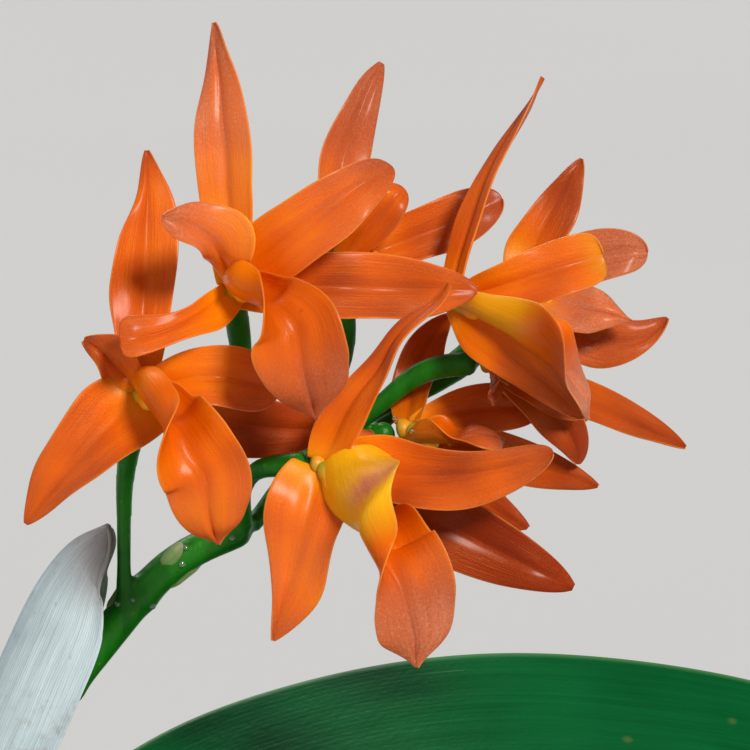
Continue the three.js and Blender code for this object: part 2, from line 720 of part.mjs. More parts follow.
const rhizome = rhizomeSolid();
const caneCutters = CANES.map((cane) => caneSolid(cane, GAP));
const rhizomeCut = caneCutters.reduce((left, cutter) => left.subtract(cutter), rhizome);
plant.add(piece("pot", potSolid(), clay));
plant.add(piece("bark_mix", barkSolid([rhizomeSolid(GAP), ...caneCutters]), barkBrown));
plant.add(piece("rhizome_and_roots", rhizomeCut, rootGrey));
CANES.forEach((cane, i) => {
  plant.add(piece(cane.name, caneSolid(cane), caneGreen));
  plant.add(piece(`sleeve_${CANES.length - i}`, sleeveGeometry(cane, 0.1, 0.44), paperGrey));
});
for (const leaf of LEAVES) plant.add(piece(leaf.name, leafGeometry(leaf), leafGreen));

const head = new THREE.Group();
head.position.set(...HEAD_AT);
head.rotation.x = THREE.MathUtils.degToRad(90 - HEAD_TILT);
head.add(piece("flower_stalk", stalkSolid(), stalkGreen));
const spathe = blade({ ...SPATHE, outline: OUTLINE.spathe, thick: SHEATH_THICK, rows: 9, columns: 6 });
head.add(piece("flower_sheath", spathe, paperGrey));
for (const bloom of blooms) head.add(piece(bloom.name, bloomSolid(bloom), petalOrange));
plant.add(head);

export default plant;
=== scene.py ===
import math
import random

import bmesh
import bpy
from mathutils import Matrix, Vector, noise
from mathutils.bvhtree import BVHTree


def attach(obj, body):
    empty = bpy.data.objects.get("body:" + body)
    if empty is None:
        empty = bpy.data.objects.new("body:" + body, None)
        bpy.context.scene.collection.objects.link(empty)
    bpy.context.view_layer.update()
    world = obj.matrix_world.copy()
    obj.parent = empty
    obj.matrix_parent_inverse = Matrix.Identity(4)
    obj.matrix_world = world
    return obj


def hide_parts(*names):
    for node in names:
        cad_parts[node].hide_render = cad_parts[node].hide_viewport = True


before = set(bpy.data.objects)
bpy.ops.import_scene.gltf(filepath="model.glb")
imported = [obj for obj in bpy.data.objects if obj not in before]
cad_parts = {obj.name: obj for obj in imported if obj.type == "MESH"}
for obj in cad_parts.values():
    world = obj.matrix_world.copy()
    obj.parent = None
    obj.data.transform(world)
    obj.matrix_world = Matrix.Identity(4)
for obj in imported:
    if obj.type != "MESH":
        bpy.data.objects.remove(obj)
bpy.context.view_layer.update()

# A potted orchid in flower. Shapes are worked out in mm and turned into metres at the end.
scene = bpy.context.scene
random.seed(7)
mm = 0.001
head = {"at": (11, -6, 297), "tilt": 12, "viewedFrom": 450}
picture = {"middle": 375, "perMm": 10}
toWorld = Matrix.Scale(mm, 4)
headTurn = Matrix.Rotation(math.radians(90 - head["tilt"]), 4, "X")
headToWorld = toWorld @ Matrix.Translation(head["at"]) @ headTurn


# Small helpers: numbers, curves and meshes
def blend(a, b, t):
    return a + (b - a) * t


def smooth(t, low=0.0, high=1.0):
    t = min(max((t - low) / (high - low), 0), 1)
    return t * t * (3 - 2 * t)


def along(values, t):
    # reads a list that is spread evenly from 0 to 1
    at = min(max(t, 0), 1) * (len(values) - 1)
    i = min(int(at), len(values) - 2)
    return blend(values[i], values[i + 1], at - i)


def flow(values, t):
    # the same, but smooth through every value
    at = min(max(t, 0), 1) * (len(values) - 1)
    i = min(int(at), len(values) - 2)
    a, b, c, d = (values[min(max(i + k, 0), len(values) - 1)] for k in (-1, 0, 1, 2))
    u = at - i
    return b + ((c - a) * u + (2 * a - 5 * b + 4 * c - d) * u * u + (3 * b - a - 3 * c + d) * u**3) * 0.5


def wobble(point, size, seed=0):
    # smooth noise from about -1 to 1, with lumps of the given size in mm
    return noise.noise(Vector(point) / size + Vector((seed * 7.3, seed * 3.1, seed)))


def hump(far, wide):
    # 1 in the middle, and close to 0 beyond twice the width
    return math.exp(-((far / wide) ** 2))


def ripple(s, v, turns, start, apart):
    # a wave along an edge, which starts further on at the right side
    return math.sin(2 * math.pi * (turns * s + start + (apart if v > 0 else 0)))


def arc(start, via, end):
    # the curve through three points
    start, via, end = Vector(start), Vector(via), Vector(end)
    handle = 2 * via - (start + end) / 2
    return lambda t: start * (1 - t) ** 2 + handle * 2 * t * (1 - t) + end * t * t


def spline(points):
    # the smooth curve through a row of points
    row = [Vector(p) for p in points]
    row = [2 * row[0] - row[1], *row, 2 * row[-1] - row[-2]]

    def way(t):
        at = min(max(t, 0), 1) * (len(row) - 3)
        i = min(int(at), len(row) - 4)
        p0, p1, p2, p3 = row[i : i + 4]
        d0, d1, d2 = ((q - p).length ** 0.5 for p, q in ((p0, p1), (p1, p2), (p2, p3)))
        leave = ((p1 - p0) / d0 - (p2 - p0) / (d0 + d1) + (p2 - p1) / d1) * d1
        reach = ((p2 - p1) / d1 - (p3 - p1) / (d1 + d2) + (p3 - p2) / d2) * d1
        u = at - i
        turn = 2 * p1 - 2 * p2 + leave + reach
        rise = 3 * p2 - 3 * p1 - 2 * leave - reach
        return turn * u**3 + rise * u**2 + leave * u + p1

    return way


class Line:
    # a path with even steps and a frame that doesn't twist
    def __init__(self, way, steps=80):
        raw = [way(i / 300) for i in range(301)]
        far = [0.0]
        for a, b in zip(raw, raw[1:]):
            far.append(far[-1] + (b - a).length)
        self.length = far[-1]
        self.points = []
        k = 0
        for i in range(steps + 1):
            want = self.length * i / steps
            while k < 299 and far[k + 1] < want:
                k += 1
            part = (want - far[k]) / max(far[k + 1] - far[k], 1e-9)
            self.points.append(raw[k].lerp(raw[k + 1], min(part, 1)))
        self.ahead = []
        for i in range(steps + 1):
            a, b = self.points[max(i - 1, 0)], self.points[min(i + 1, steps)]
            self.ahead.append((b - a).normalized())
        right = self.ahead[0].orthogonal()
        self.right = []
        for way in self.ahead:
            right = (right - way * right.dot(way)).normalized()
            self.right.append(right.copy())

    def at(self, t):
        point, ahead, right = (along(row, t) for row in (self.points, self.ahead, self.right))
        ahead = ahead.normalized()
        right = (right - ahead * right.dot(ahead)).normalized()
        return point, ahead, right, ahead.cross(right)


def layers(bm, names):
    return {name: bm.verts.layers.float.get(name) or bm.verts.layers.float.new(name) for name in names}


def lay(bm, rows, columns, place, marks, values={}):
    # a grid whose points are put in place by their way along, s from 0 to 1, and across, v from -1 to 1
    bm.loops.layers.uv.verify()
    made = bmesh.ops.create_grid(bm, x_segments=columns, y_segments=rows, size=1, calc_uvs=True)["verts"]
    for vert in made:
        v, s = vert.co.x, (vert.co.y + 1) / 2
        point, more = place(s, v)
        vert.co = point
        for name, layer in marks.items():
            vert[layer] = {**values, **more}.get(name, 0)
    for face in {f for vert in made for f in vert.link_faces}:
        face.smooth = True
    return made


def tube(bm, line, radius, rows, sides, marks, values={}, ends=(1, 1)):
    # a round stem; radius(t, turn) in mm, with ends closed and rounded over the given share of their radius
    reach = [end * radius(t, 0) / line.length for end, t in zip(ends, (0.02, 0.98))]

    def place(s, v):
        turn = math.pi * v
        s = s * s * (3 - 2 * s) * 0.5 + s * 0.5
        point, ahead, right, front = line.at(s)
        close = 1.0
        for at, long in ((s, reach[0]), (1 - s, reach[1])):
            if at < long:
                close *= math.sqrt(max(1 - (1 - at / long) ** 2, 0))
        r = radius(s, turn) * close
        east, north = math.cos(turn), math.sin(turn)
        point += r * (east * right + north * front)
        return point, {"along": s, "across": v, "east": east, "north": north}

    made = lay(bm, rows, sides, place, marks, values)
    bmesh.ops.remove_doubles(bm, verts=made, dist=1e-4)


def turnRound(bm, profile, steps):
    # turns a profile of (radius, height) points round the upright axis
    row = [bm.verts.new((x, 0, z)) for x, z in profile]
    edges = [bm.edges.new(pair) for pair in zip(row, row[1:])]
    bmesh.ops.spin(
        bm,
        geom=row + edges,
        cent=(0, 0, 0),
        axis=(0, 0, 1),
        dvec=(0, 0, 0),
        angle=2 * math.pi,
        steps=steps,
        use_merge=True,
        use_duplicate=False,
    )
    bmesh.ops.remove_doubles(bm, verts=bm.verts, dist=1e-3)


def weigh(bm, marks, share):
    # how much of its flesh a blade has at each place
    group = bm.verts.layers.deform.verify()
    for vert in bm.verts:
        vert[group][0] = share(vert[marks["along"]], vert[marks["across"]]) * 0.999


def settle(name, bm, matrix, finishes):
    # a finished mesh in metres, its object at the origin
    bm.transform(matrix)
    mesh = bpy.data.meshes.new(name)
    bm.to_mesh(mesh)
    bm.free()
    piece = bpy.data.objects.new(name, mesh)
    scene.collection.objects.link(piece)
    for finish in finishes:
        mesh.materials.append(finish)
    return piece


def modify(piece, kind, **settings):
    made = piece.modifiers.new(kind.lower(), kind)
    for name, value in settings.items():
        setattr(made, name, value)
    return made


def roundOff(piece, levels=1):
    modify(piece, "SUBSURF", levels=levels, render_levels=levels)


def thicken(piece, thick, thinEdge):
    # flesh on both sides of a blade, by the weights that it was given
    piece.vertex_groups.new(name="flesh")
    flesh = {"vertex_group": "flesh", "thickness_vertex_group": thinEdge}
    modify(piece, "SOLIDIFY", thickness=thick * mm, offset=0, **flesh)
    roundOff(piece)


def bake(piece):
    # applies what modifiers a piece has
    graph = bpy.context.evaluated_depsgraph_get()
    done = bpy.data.meshes.new_from_object(piece.evaluated_get(graph))
    piece.modifiers.clear()
    piece.data = done
    for face in done.polygons:
        face.use_smooth = True


def keep(piece, node, replace=True):
    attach(piece, "root")
    if replace:
        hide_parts(node)


# Finishes
def hue(code):
    # a colour given the usual way, as Blender counts it
    parts = [int(code[i : i + 2], 16) / 255 for i in (1, 3, 5)]
    return (*(p / 12.92 if p < 0.04045 else ((p + 0.055) / 1.055) ** 2.4 for p in parts), 1)


class Wire:
    # a node's output, so that shader sums read as plain sums
    def __init__(self, finish, socket):
        self.finish = finish
        self.socket = socket

    def math(self, operation, other=0):
        return self.finish.node("ShaderNodeMath", {"operation": operation}, {0: self, 1: other})

    def __add__(self, other):
        return self.math("ADD", other)

    def __sub__(self, other):
        return self.math("SUBTRACT", other)

    def __mul__(self, other):
        return self.math("MULTIPLY", other)

    def __pow__(self, other):
        return self.math("POWER", other)

    def __abs__(self):
        return self.math("ABSOLUTE")

    __radd__ = __add__
    __rmul__ = __mul__


class Finish:
    # a material, with short names for the nodes that its finish is made from
    def __init__(self, name, **uniform):
        self.material = bpy.data.materials.new(name)
        self.material.use_nodes = True
        self.tree = self.material.node_tree
        self.shader = self.tree.nodes["Principled BSDF"]
        for socket, value in uniform.items():
            self.shader.inputs[socket.replace("_", " ")].default_value = value

    def node(self, kind, settings, inputs, output=0):
        # settings come first, then links and values, where a colour may be given as text
        made = self.tree.nodes.new(kind)
        for name, value in settings.items():
            if name == "stops":
                ramp = made.color_ramp
                while len(ramp.elements) < len(value):
                    ramp.elements.new(1)
                for element, (at, colour) in zip(ramp.elements, value):
                    element.position = at
                    element.color = hue(colour)
            else:
                setattr(made, name, value)
        for key, value in inputs.items():
            if isinstance(value, Wire):
                self.tree.links.new(value.socket, made.inputs[key])
            else:
                made.inputs[key].default_value = hue(value) if isinstance(value, str) else value
        return Wire(self, made.outputs[output])

    def place(self):
        return self.node("ShaderNodeTexCoord", {}, {}, "Object")

    def mark(self, name):
        return self.node("ShaderNodeAttribute", {"attribute_name": name}, {}, "Fac")

    def vector(self, x, y, z=0):
        return self.node("ShaderNodeCombineXYZ", {}, {0: x, 1: y, 2: z})

    def noise(self, at, size, detail=3, rough=0.5):
        # lumps of the given size in the unit of "at"
        inputs = {"Vector": at, "Scale": 1 / size, "Detail": detail, "Roughness": rough}
        return self.node("ShaderNodeTexNoise", {}, inputs, "Fac")

    def cells(self, at, size):
        return self.node("ShaderNodeTexVoronoi", {}, {"Vector": at, "Scale": 1 / size}, "Distance")

    def step(self, value, low, high, to=(0, 1)):
        settings = {"interpolation_type": "SMOOTHSTEP"}
        inputs = {"Value": value, "From Min": low, "From Max": high, "To Min": to[0], "To Max": to[1]}
        return self.node("ShaderNodeMapRange", settings, inputs)

    def ramp(self, value, *stops):
        return self.node("ShaderNodeValToRGB", {"stops": stops}, {"Fac": value})

    def mix(self, amount, a, b, kind="MIX"):
        settings = {"data_type": "RGBA", "blend_type": kind}
        return self.node("ShaderNodeMix", settings, {0: amount, 6: a, 7: b}, 2)

    def wave(self, value):
        # from 0 to 1 and back as the value grows by 1
        return (value * (2 * math.pi)).math("SINE") * 0.5 + 0.5

    def bump(self, height, deep, normal=None):
        inputs = {"Height": height, "Distance": deep, "Strength": 1}
        if normal:
            inputs["Normal"] = normal
        return self.node("ShaderNodeBump", {}, inputs)

    def stretched(self, at, **settings):
        return self.node("ShaderNodeMapping", {}, {"Vector": at, **settings})

    def use(self, body, rough=None, relief=None):
        for name, wire in (("Base Color", body), ("Roughness", rough), ("Normal", relief)):
            if wire:
                self.tree.links.new(wire.socket, self.shader.inputs[name])
        return self.material


# Camera, light and floor
print("camera, light and floor")
lens = {"lens": 216, "sensor_width": 36, "clip_start": 0.01, "clip_end": 50}
camera = bpy.data.objects.new("camera", bpy.data.cameras.new("camera"))
for name, value in lens.items():
    setattr(camera.data, name, value)
eye = headToWorld @ Vector((0, 0, head["viewedFrom"]))
camera.matrix_world = Matrix.Translation(eye) @ headTurn
scene.collection.objects.link(camera)
scene.camera = camera

sky = {"colour": (0.86, 0.88, 0.92, 1), "strength": 0.22}
light = {
    "key": {"from": (0.62, -1.1, 0.95), "power": 2.85, "angle": 14, "colour": (1, 0.97, 0.93)},
    "fill": {"from": (-1.3, -0.8, 0.5), "power": 0.5, "angle": 60, "colour": (0.93, 0.96, 1)},
    "rim": {"from": (-0.5, 1.2, 1.1), "power": 0.9, "angle": 25, "colour": (1, 1, 1)},
}
for name, row in light.items():
    lamp = bpy.data.lights.new(name, "SUN")
    lamp.energy = row["power"]
    lamp.color = row["colour"]
    lamp.angle = math.radians(row["angle"])
    made = bpy.data.objects.new(name, lamp)
    made.matrix_world = Vector(row["from"]).to_track_quat("Z", "Y").to_matrix().to_4x4()
    scene.collection.objects.link(made)
scene.world = bpy.data.worlds.new("studio")
scene.world.use_nodes = True
background = scene.world.node_tree.nodes["Background"]
background.inputs["Color"].default_value = sky["colour"]
background.inputs["Strength"].default_value = sky["strength"]
scene.view_settings.view_transform = "Standard"

ground = {"half": 9000, "below": 0.6}
bm = bmesh.new()
bmesh.ops.create_grid(bm, x_segments=8, y_segments=8, size=ground["half"])
bmesh.ops.translate(bm, verts=bm.verts, vec=(0, 0, -ground["below"]))
paper = Finish("floor_paper", Roughness=0.9)
grain = paper.noise(paper.place(), 0.9, 2)
floorFinish = paper.use(paper.mix(grain, (0.62, 0.62, 0.61, 1), (0.67, 0.67, 0.66, 1)))
settle("floor", bm, toWorld, [floorFinish])


# Blade forms
# how broad the root is, how fast a blade swells, how slowly it closes, and how far its sides roll up
outlines = {
    "sepal": {"root": 0.2, "swell": 0.75, "taper": 0.72, "cup": (0.55, 0.3)},
    "petal": {"root": 0.12, "swell": 0.8, "taper": 0.48, "cup": (0.5, 0.25)},
    "leaf": {"root": 0.03, "swell": 0.5, "taper": 0.5, "cup": (0.5, 0.35)},
    "sheath": {"root": 0.05, "swell": 0.3, "taper": 0.45, "cup": (1.45, 1.75)},
}


def bladeForm(way, row, outline, opens=(0, 1), crease=1.0, tipWide=0.03):
    # gives a blade's point and its upper side for any place on it
    swell, taper, root = outline["swell"], row.get("taper", outline["taper"]), outline["root"]
    cup = row.get("cup", outline["cup"])
    face = Vector(row["face"])
    faceTip = Vector(row.get("faceTip", row["face"]))
    sides = row.get("leftFull", (1, 1)), row.get("rightFull", (1, 1))

    def breadth(s):
        return (1 - s) ** taper * (s + root) ** swell

    most = breadth(max((swell - taper * root) / (swell + taper), 0))

    def form(s, v):
        run = (way(min(s + 1e-3, 1)) - way(max(s - 1e-3, 0))).normalized()
        up = face.lerp(faceTip, smooth(s))
        up = (up - run * up.dot(run)).normalized()
        side = run.cross(up)
        roll = blend(*cup, smooth(s, *opens))
        half = row["wide"] / 2 * max(breadth(s) / most, tipWide) * flow(sides[v > 0], s)
        lean = roll * abs(v) ** crease / (1 + crease)
        short = math.sin(crease * lean) / (crease * lean) if abs(lean) > 1e-6 else 1
        out = half * v * short
        turned = roll * abs(v) ** crease * (1 if v > 0 else -1)
        point = way(s) + side * out * math.cos(lean) + up * abs(out) * math.sin(lean)
        return point, up * math.cos(turned) - side * math.sin(turned), run

    return form


# Blooms
def placed(p):
    # the head's rows give points as they line up from the viewer, so near points are drawn in
    near = 1 - p[2] / head["viewedFrom"]
    return Vector((p[0] * near, p[1] * near, p[2]))


# in the rows below, deep is painted shade where a tepal lies in shadow, pink a painted rosy sheen, and a
# golden tip a painted glow of light shining through
blooms = [
    {
        "node": "bloom_1_upper_left", "at": (-14.3, 8.7, 9),
        "pedicel": [(-15, -17, -3), (-13.9, -10.5, -2), (-13.5, -4.5, 0), (-13.4, 2, 3), (-14, 6.6, 6.5)],
        "sepals": [
            {
                "via": (-15.1, 22.5, 7), "tip": (-16.3, 35.4, 5), "wide": 6.1, "face": (-0.3, 0.1, 1),
                "leftFull": (0.8, 0.85, 0.95, 1, 0.62, 0.35), "pink": 0.9,
            },
            {
                "via": (-19.6, 4.9, 13.5), "tip": (-25.5, 3.4, 15.5), "wide": 5.6, "face": (0, 0.1, 1),
                "leftFull": (1.6, 1.35, 0.95, 0.65, 0.65, 0.85),
                "rightFull": (0.8, 0.75, 0.6, 0.62, 0.8, 1), "taper": 0.22, "curl": 0,
            },
            {"via": (-0.8, 8.7, 7.5), "tip": (10.3, 8.6, 7), "wide": 7.2, "face": (0, 0.15, 1)},
        ],
        "petals": [
            {
                "via": (-16.7, 13.6, 14), "tip": (-21.2, 15.9, 17), "wide": 6.4,
                "face": (-0.35, 0.4, 0.85), "leftFull": (0.6, 0.55, 0.55, 0.6, 0.65, 0.5),
                "rightFull": (0.9, 1.25, 1.55, 1.05, 0.75, 0.4), "curl": 0.2, "pink": 0.9,
            },
            {
                "via": (-5.7, 16, 12), "tip": (1.9, 20.9, 9), "wide": 7, "face": (0.1, 0.1, 1),
                "leftFull": (1.7, 1.4, 1.0, 0.8, 0.72, 0.8), "rightFull": (1.4, 1.3, 1.1, 1, 0.8, 0.7),
                "pink": 0.35,
            },
        ],
        "lip": {
            "path": [
                (-14.1, 8.6, 9.5), (-13, 7.7, 12.5), (-11.5, 7.1, 15.4), (-9.9, 6.6, 17.3),
                (-8.1, 4.9, 18.2), (-7.6, 2.6, 18.2), (-7.2, 0.3, 17.6), (-6.6, -2, 16.4),
                (-5.9, -4.4, 15),
            ],
            "faces": [
                (0.2, 1, 0.1), (0.3, 0.95, 0.15), (0.5, 0.85, 0.3), (0.3, 0.6, 0.75), (0, 0.2, 1),
                (0, 0.15, 1), (0, 0.1, 1), (-0.05, 0.1, 1), (-0.1, 0.1, 1),
            ],
            "left": (3.2, 4.2, 4.4, 3.8, 4.4, 4.8, 4.5, 3.7, 0.1),
            "right": (3.2, 5, 4, 3.3, 4.2, 4.8, 4.1, 2.6, 0.1), "freckles": 1,
            "roll": (2.4, 2.2, 2.3, 1.3, 0.6, 0.35, 0.2, 0, -0.2),
            "rightRoll": (2.4, 2.4, 2.4, 2.2, 1, 0.5, 0.2, 0, -0.2), "gold": 0.3,
        },
    },
    {
        "node": "bloom_2_left", "at": (-23.5, -1.8, 9),
        "pedicel": [(-25.1, -23.5, -3), (-25.1, -16.5, -1), (-25, -10.5, 2), (-24.6, -5.5, 5)],
        "sepals": [
            {
                "via": (-23, 11, 6), "tip": (-22.8, 22.6, 4), "wide": 6.3, "face": (0.1, 0, 1),
                "leftFull": (1, 1, 1.15, 1.05, 0.45, 0.3), "rightFull": (0.8, 0.85, 0.95, 1.1, 1.2, 0.8),
                "deep": 0.2,
            },
            {
                "via": (-28.9, -7.4, 11), "tip": (-35.1, -14.9, 10), "wide": 7.2, "face": (-0.1, 0.1, 1),
                "leftFull": (2, 1.4, 1.05, 0.88, 0.7, 0.6), "rightFull": (1.3, 1.25, 1.1, 1, 1, 0.8),
            },
            {
                "via": (-13, -5, 4.2), "tip": (-3.6, -5.2, 0.5), "wide": 6.4, "face": (0.1, -0.1, 1),
                "deep": 0.7,
            },
        ],
        "petals": [
            {
                "via": (-26.4, 1.4, 10.5), "tip": (-29.3, 3.6, 10.5), "wide": 5, "face": (-0.4, 0.3, 0.8),
                "leftFull": (1.2, 1.1, 0.8, 0.5, 0.35, 0.3), "rightFull": (1, 1, 1.1, 1, 0.7, 0.4),
            },
            {"via": (-16.5, -0.3, 11), "tip": (-9, -1.2, 8.5), "wide": 6.6, "face": (0.1, 0.3, 1)},
        ],
        "lip": {
            "path": [
                (-23.6, -1.5, 9.6), (-22.6, -2.7, 12.5), (-21.5, -4.3, 15), (-19.9, -5.9, 16.8),
                (-18.4, -8.3, 17.4), (-17.1, -10.3, 17.2), (-16.8, -13, 16.6), (-16.3, -15.3, 15.6),
                (-15.7, -16.9, 14.6),
            ],
            "faces": [
                (0.6, 0.8, 0.1), (0.55, 0.8, 0.2), (0.6, 0.75, 0.2), (0.3, 0.5, 0.8), (0, 0.2, 1),
                (0, 0.15, 1), (0, 0.1, 1), (-0.05, 0.1, 1), (-0.1, 0.1, 1),
            ],
            "left": (3, 4.2, 4.8, 4.8, 5, 4.7, 4.1, 2.9, 0.1),
            "right": (3.2, 5, 4.4, 3.8, 4.2, 4.1, 3.5, 2.1, 0.1), "reach": 2.2,
            "roll": (2.4, 2.1, 2.1, 1.8, 0.8, 0.4, 0.2, 0, -0.2),
            "rightRoll": (2.4, 2.6, 2.6, 2.2, 0.9, 0.4, 0.2, 0, -0.2), "gold": 0.25,
        },
    },
    {
        "node": "bloom_3_lower_middle", "at": (-5.3, -8.9, 8),
        "pedicel": [(-13, -15.3, -3), (-13, -11.5, 1), (-11.5, -9.4, 5), (-8.8, -8.9, 7)],
        "sepals": [
            {
                "via": (-1.1, -1, 10.5), "tip": (7, 9.5, 13), "wide": 5.4, "face": (-0.1, 0, 1),
                "faceTip": (-0.9, 0.3, 0.4), "leftFull": (1, 0.95, 0.75, 0.62, 0.6, 0.5),
            },
            {
                "via": (-7.7, -17, 10), "tip": (-10.3, -26.6, 10), "wide": 8, "face": (-0.15, 0, 1),
                "leftFull": (1, 1, 0.95, 1.05, 1.15, 1), "rightFull": (1.2, 1.2, 1.05, 0.65, 0.42, 0.3),
                "pink": 0.4,
            },
            {
                "via": (7.5, -15.3, 5), "tip": (19.8, -21.3, 5), "wide": 7.8, "face": (0, -0.1, 1),
                "deep": 1,
            },
        ],
        "petals": [
            {"via": (-3, -6.8, 5), "tip": (-0.6, -5.2, 1.6), "wide": 4, "face": (0.3, 0.8, 0.3)},
            {
                "via": (6.5, -10.2, 10.5), "tip": (17.8, -7.7, 12), "wide": 6.8, "face": (0, 0.2, 1),
                "leftFull": (1.7, 1.6, 1.05, 0.72, 0.62, 0.7), "rightFull": (1, 1.1, 1.1, 1, 0.8, 0.7),
            },
        ],
        "lip": {
            "path": [
                (-5.6, -9.4, 7.5), (-4.6, -12.6, 10), (-2, -15, 12.8), (-0.1, -16.2, 14.6),
                (0.3, -18.2, 15.8), (2.2, -20.9, 16.2), (3.2, -23.8, 16.2), (3.9, -26.5, 15.8),
                (4.1, -29.2, 15),
            ],
            "faces": [
                (0.45, 0.6, -0.65), (0.45, 0.6, -0.65), (0.8, 0.5, -0.2), (0.3, 1, 0.1), (0.5, 0.5, 0.65),
                (0.15, 0.2, 1), (0.1, 0.1, 1), (0.1, 0.1, 1), (0.1, 0.1, 1),
            ],
            "left": (2, 4, 4.8, 5.7, 6.7, 6.2, 4.9, 3.5, 0.1),
            "right": (8.5, 9, 8.8, 8.4, 5, 3, 3.5, 3.2, 0.1), "reach": 3.8,
            "roll": (2.2, 2.2, 2.4, 2.2, 1.5, 0.8, 0.3, 0.1, -0.2),
            "rightRoll": (2.2, 1.8, 1.6, 2.4, 3, 1, 0.3, 0.1, -0.2), "gold": 1.3,
            "blush": (0.24, 0.6, 0.06, 0.3), "pink": 0.8,
        },
    },
    {
        "node": "bloom_4_right", "at": (7.7, 7.5, 2),
        "pedicel": [
            (-12.5, -15, -3.5), (-6, -8.6, -8), (0, -3.8, -10), (6, -1, -11.5), (10, 2, -10),
            (10, 4.8, -5.5),
        ],
        "sepals": [
            {
                "via": (10.6, 17.6, 1), "tip": (16.6, 29.9, 0), "wide": 4.4, "face": (-0.75, 0.3, 0.6),
                "faceTip": (-1, 0.5, 0.1),
            },
            {
                "via": (14.4, 1.7, 6), "tip": (20.8, -4.5, 7), "wide": 4.6, "face": (-0.2, -0.3, 1),
                "leftFull": (1.2, 1.35, 1.4, 1.35, 1.15, 1), "rightFull": (1, 1.5, 1.3, 1.05, 1, 1),
            },
            {"via": (9.6, 8.4, -4), "tip": (11.5, 8, -9.5), "wide": 4, "face": (-0.3, 0.9, 0.3)},
        ],
        "petals": [
            {
                "via": (15.8, 9.9, 4.5), "tip": (23, 12, 3), "wide": 6.2, "face": (0, 0.1, 1),
                "leftFull": (1, 1, 0.9, 0.85, 0.95, 1.1), "rightFull": (1, 1, 1, 1, 0.95, 0.95),
                # a painted golden glow at the tip, where light shines through it
                "taper": 0.3, "goldTip": 0.6,
            },
            {"via": (6, 9, -4), "tip": (4, 8.6, -9), "wide": 5, "face": (-0.6, 0.6, 0.2)},
        ],
        "lip": {
            "path": [
                (8.2, 7.3, 3), (10.8, 5.7, 5), (13.9, 4, 6.5), (16.8, 2, 7.4), (19, -0.2, 7.4),
                (20.3, -2.4, 6.6), (21.1, -4.6, 5.6),
            ],
            "faces": [
                (0.3, 0.95, -0.2), (0.3, 0.95, -0.2), (0.25, 0.95, -0.1), (-0.25, 1, 0), (1, 0.45, 0.3),
                (1, 0.35, 0.35), (1, 0.3, 0.4),
            ],
            "left": (2.2, 3, 4.4, 6, 4.6, 4.4, 0.1), "right": (2.2, 3.2, 5, 8.2, 3.2, 2.6, 0.1),
            "pinkFrom": 0.5, "roll": (2.2, 2, 1.8, 1.3, 0.5, 0.2, 0), "gold": 0.8, "pink": 1.3,
        },
    },
    {
        "node": "bloom_5_top", "at": (-3.7, 11.1, -2),
        "pedicel": [(-12.5, -15.5, -4), (-6, -5, -7), (-3.2, 2, -7), (-2.6, 6, -6)], "far": True,
        "sepals": [
            {
                "via": (-3.2, 21.2, -3.5), "tip": (0.9, 31.3, -6), "wide": 5.4, "face": (0.3, 0, 1),
                "pink": 0.6,
            },
            {"via": (-8, 12, -9), "tip": (-10.5, 12.5, -15), "wide": 5, "face": (-0.3, 0.8, 0.3)},
            {"via": (-0.6, 11, -10), "tip": (0.8, 10, -18), "wide": 5, "face": (0, 1, 0)},
        ],
        "petals": [
            {"via": (-0.6, 15.1, 1.2), "tip": (3, 18.8, 1), "wide": 4.4, "face": (0.2, 0.2, 1)},
            {"via": (5.3, 14.3, -5), "tip": (12.7, 17.8, -6), "wide": 5.8, "face": (0, 0.1, 1)},
        ],
        "lip": {
            "small": 0.75, "via": (0.5, 9.8, 1.5), "tip": (4, 7.2, -1),
            "faces": [(0, 1, 0.2), (0, 1, 0.2), (0.5, 0.3, 1)],
        },
    },
    {
        "node": "bloom_6_right_back", "at": (14.5, 8.8, -12),
        "pedicel": [(-11.5, -14, -4), (-3, -8, -11), (5, -1, -15), (10, 3, -15.6), (12.5, 5.8, -14.2)],
        "far": True,
        "sepals": [
            {
                "via": (17.1, 15.8, -13), "tip": (20.7, 21.7, -14), "wide": 6.2, "face": (-0.1, 0.1, 1),
                "leftFull": (1, 1, 0.75, 0.55, 0.42, 0.4),
            },
            {
                "via": (23.3, 3.2, -13), "tip": (29.3, 5.7, -13), "wide": 6, "face": (0, 0.1, 1),
                "rightFull": (1, 1, 1, 0.8, 0.55, 0.4), "deep": 0.5, "pink": 0.5,
            },
            {"via": (10.5, 8.8, -17), "tip": (7.5, 8, -22), "wide": 4.6, "face": (-0.3, 0.9, 0)},
        ],
        "petals": [
            {"via": (15.5, 10, -19), "tip": (15, 10, -26), "wide": 5, "face": (0, 1, 0.2)},
            {
                "via": (21.3, 11.6, -11), "tip": (27.3, 12.2, -11), "wide": 5.6, "face": (0, 0.1, 1),
                "pink": 1.1,
            },
        ],
        "lip": {
            "path": [
                (14.5, 8.4, -12), (18, 7.2, -10.5), (20.6, 6.4, -9.3), (23, 6, -9), (25.7, 5.4, -9.5),
            ],
            "faces": [(0, 0.5, 1), (0, 0.5, 1), (0, 0.3, 1)], "left": (1.2, 2.6, 2.9, 2.2, 0.1),
            "right": (1.2, 2.4, 2.6, 1.9, 0.1), "roll": (1.4, 1, 0.6, 0.3, 0), "pink": 1.2,
            "pinkFrom": 0.05, "gold": 0.2,
        },
    },
    {
        "node": "bloom_7_lower_right", "at": (3.3, -5.3, -3),
        "pedicel": [(-11.8, -14.4, -4), (-6.5, -9, -6), (-2, -6, -5)], "far": True,
        "sepals": [
            {
                "via": (4.4, 1, -6.3), "tip": (7.5, 6.1, -7), "wide": 4.6, "face": (-0.2, 0, 1),
                "deep": 0.5,
            },
            {
                "via": (12.5, -7.9, -6), "tip": (22.3, -11.1, -5), "wide": 5, "face": (0, 0.2, 1),
                "deep": 0.4,
            },
            {
                "via": (8.5, -11, -5.5), "tip": (15.2, -15.2, -4), "wide": 5, "face": (0, 0.2, 1),
                "deep": 0.6,
            },
        ],
        "petals": [
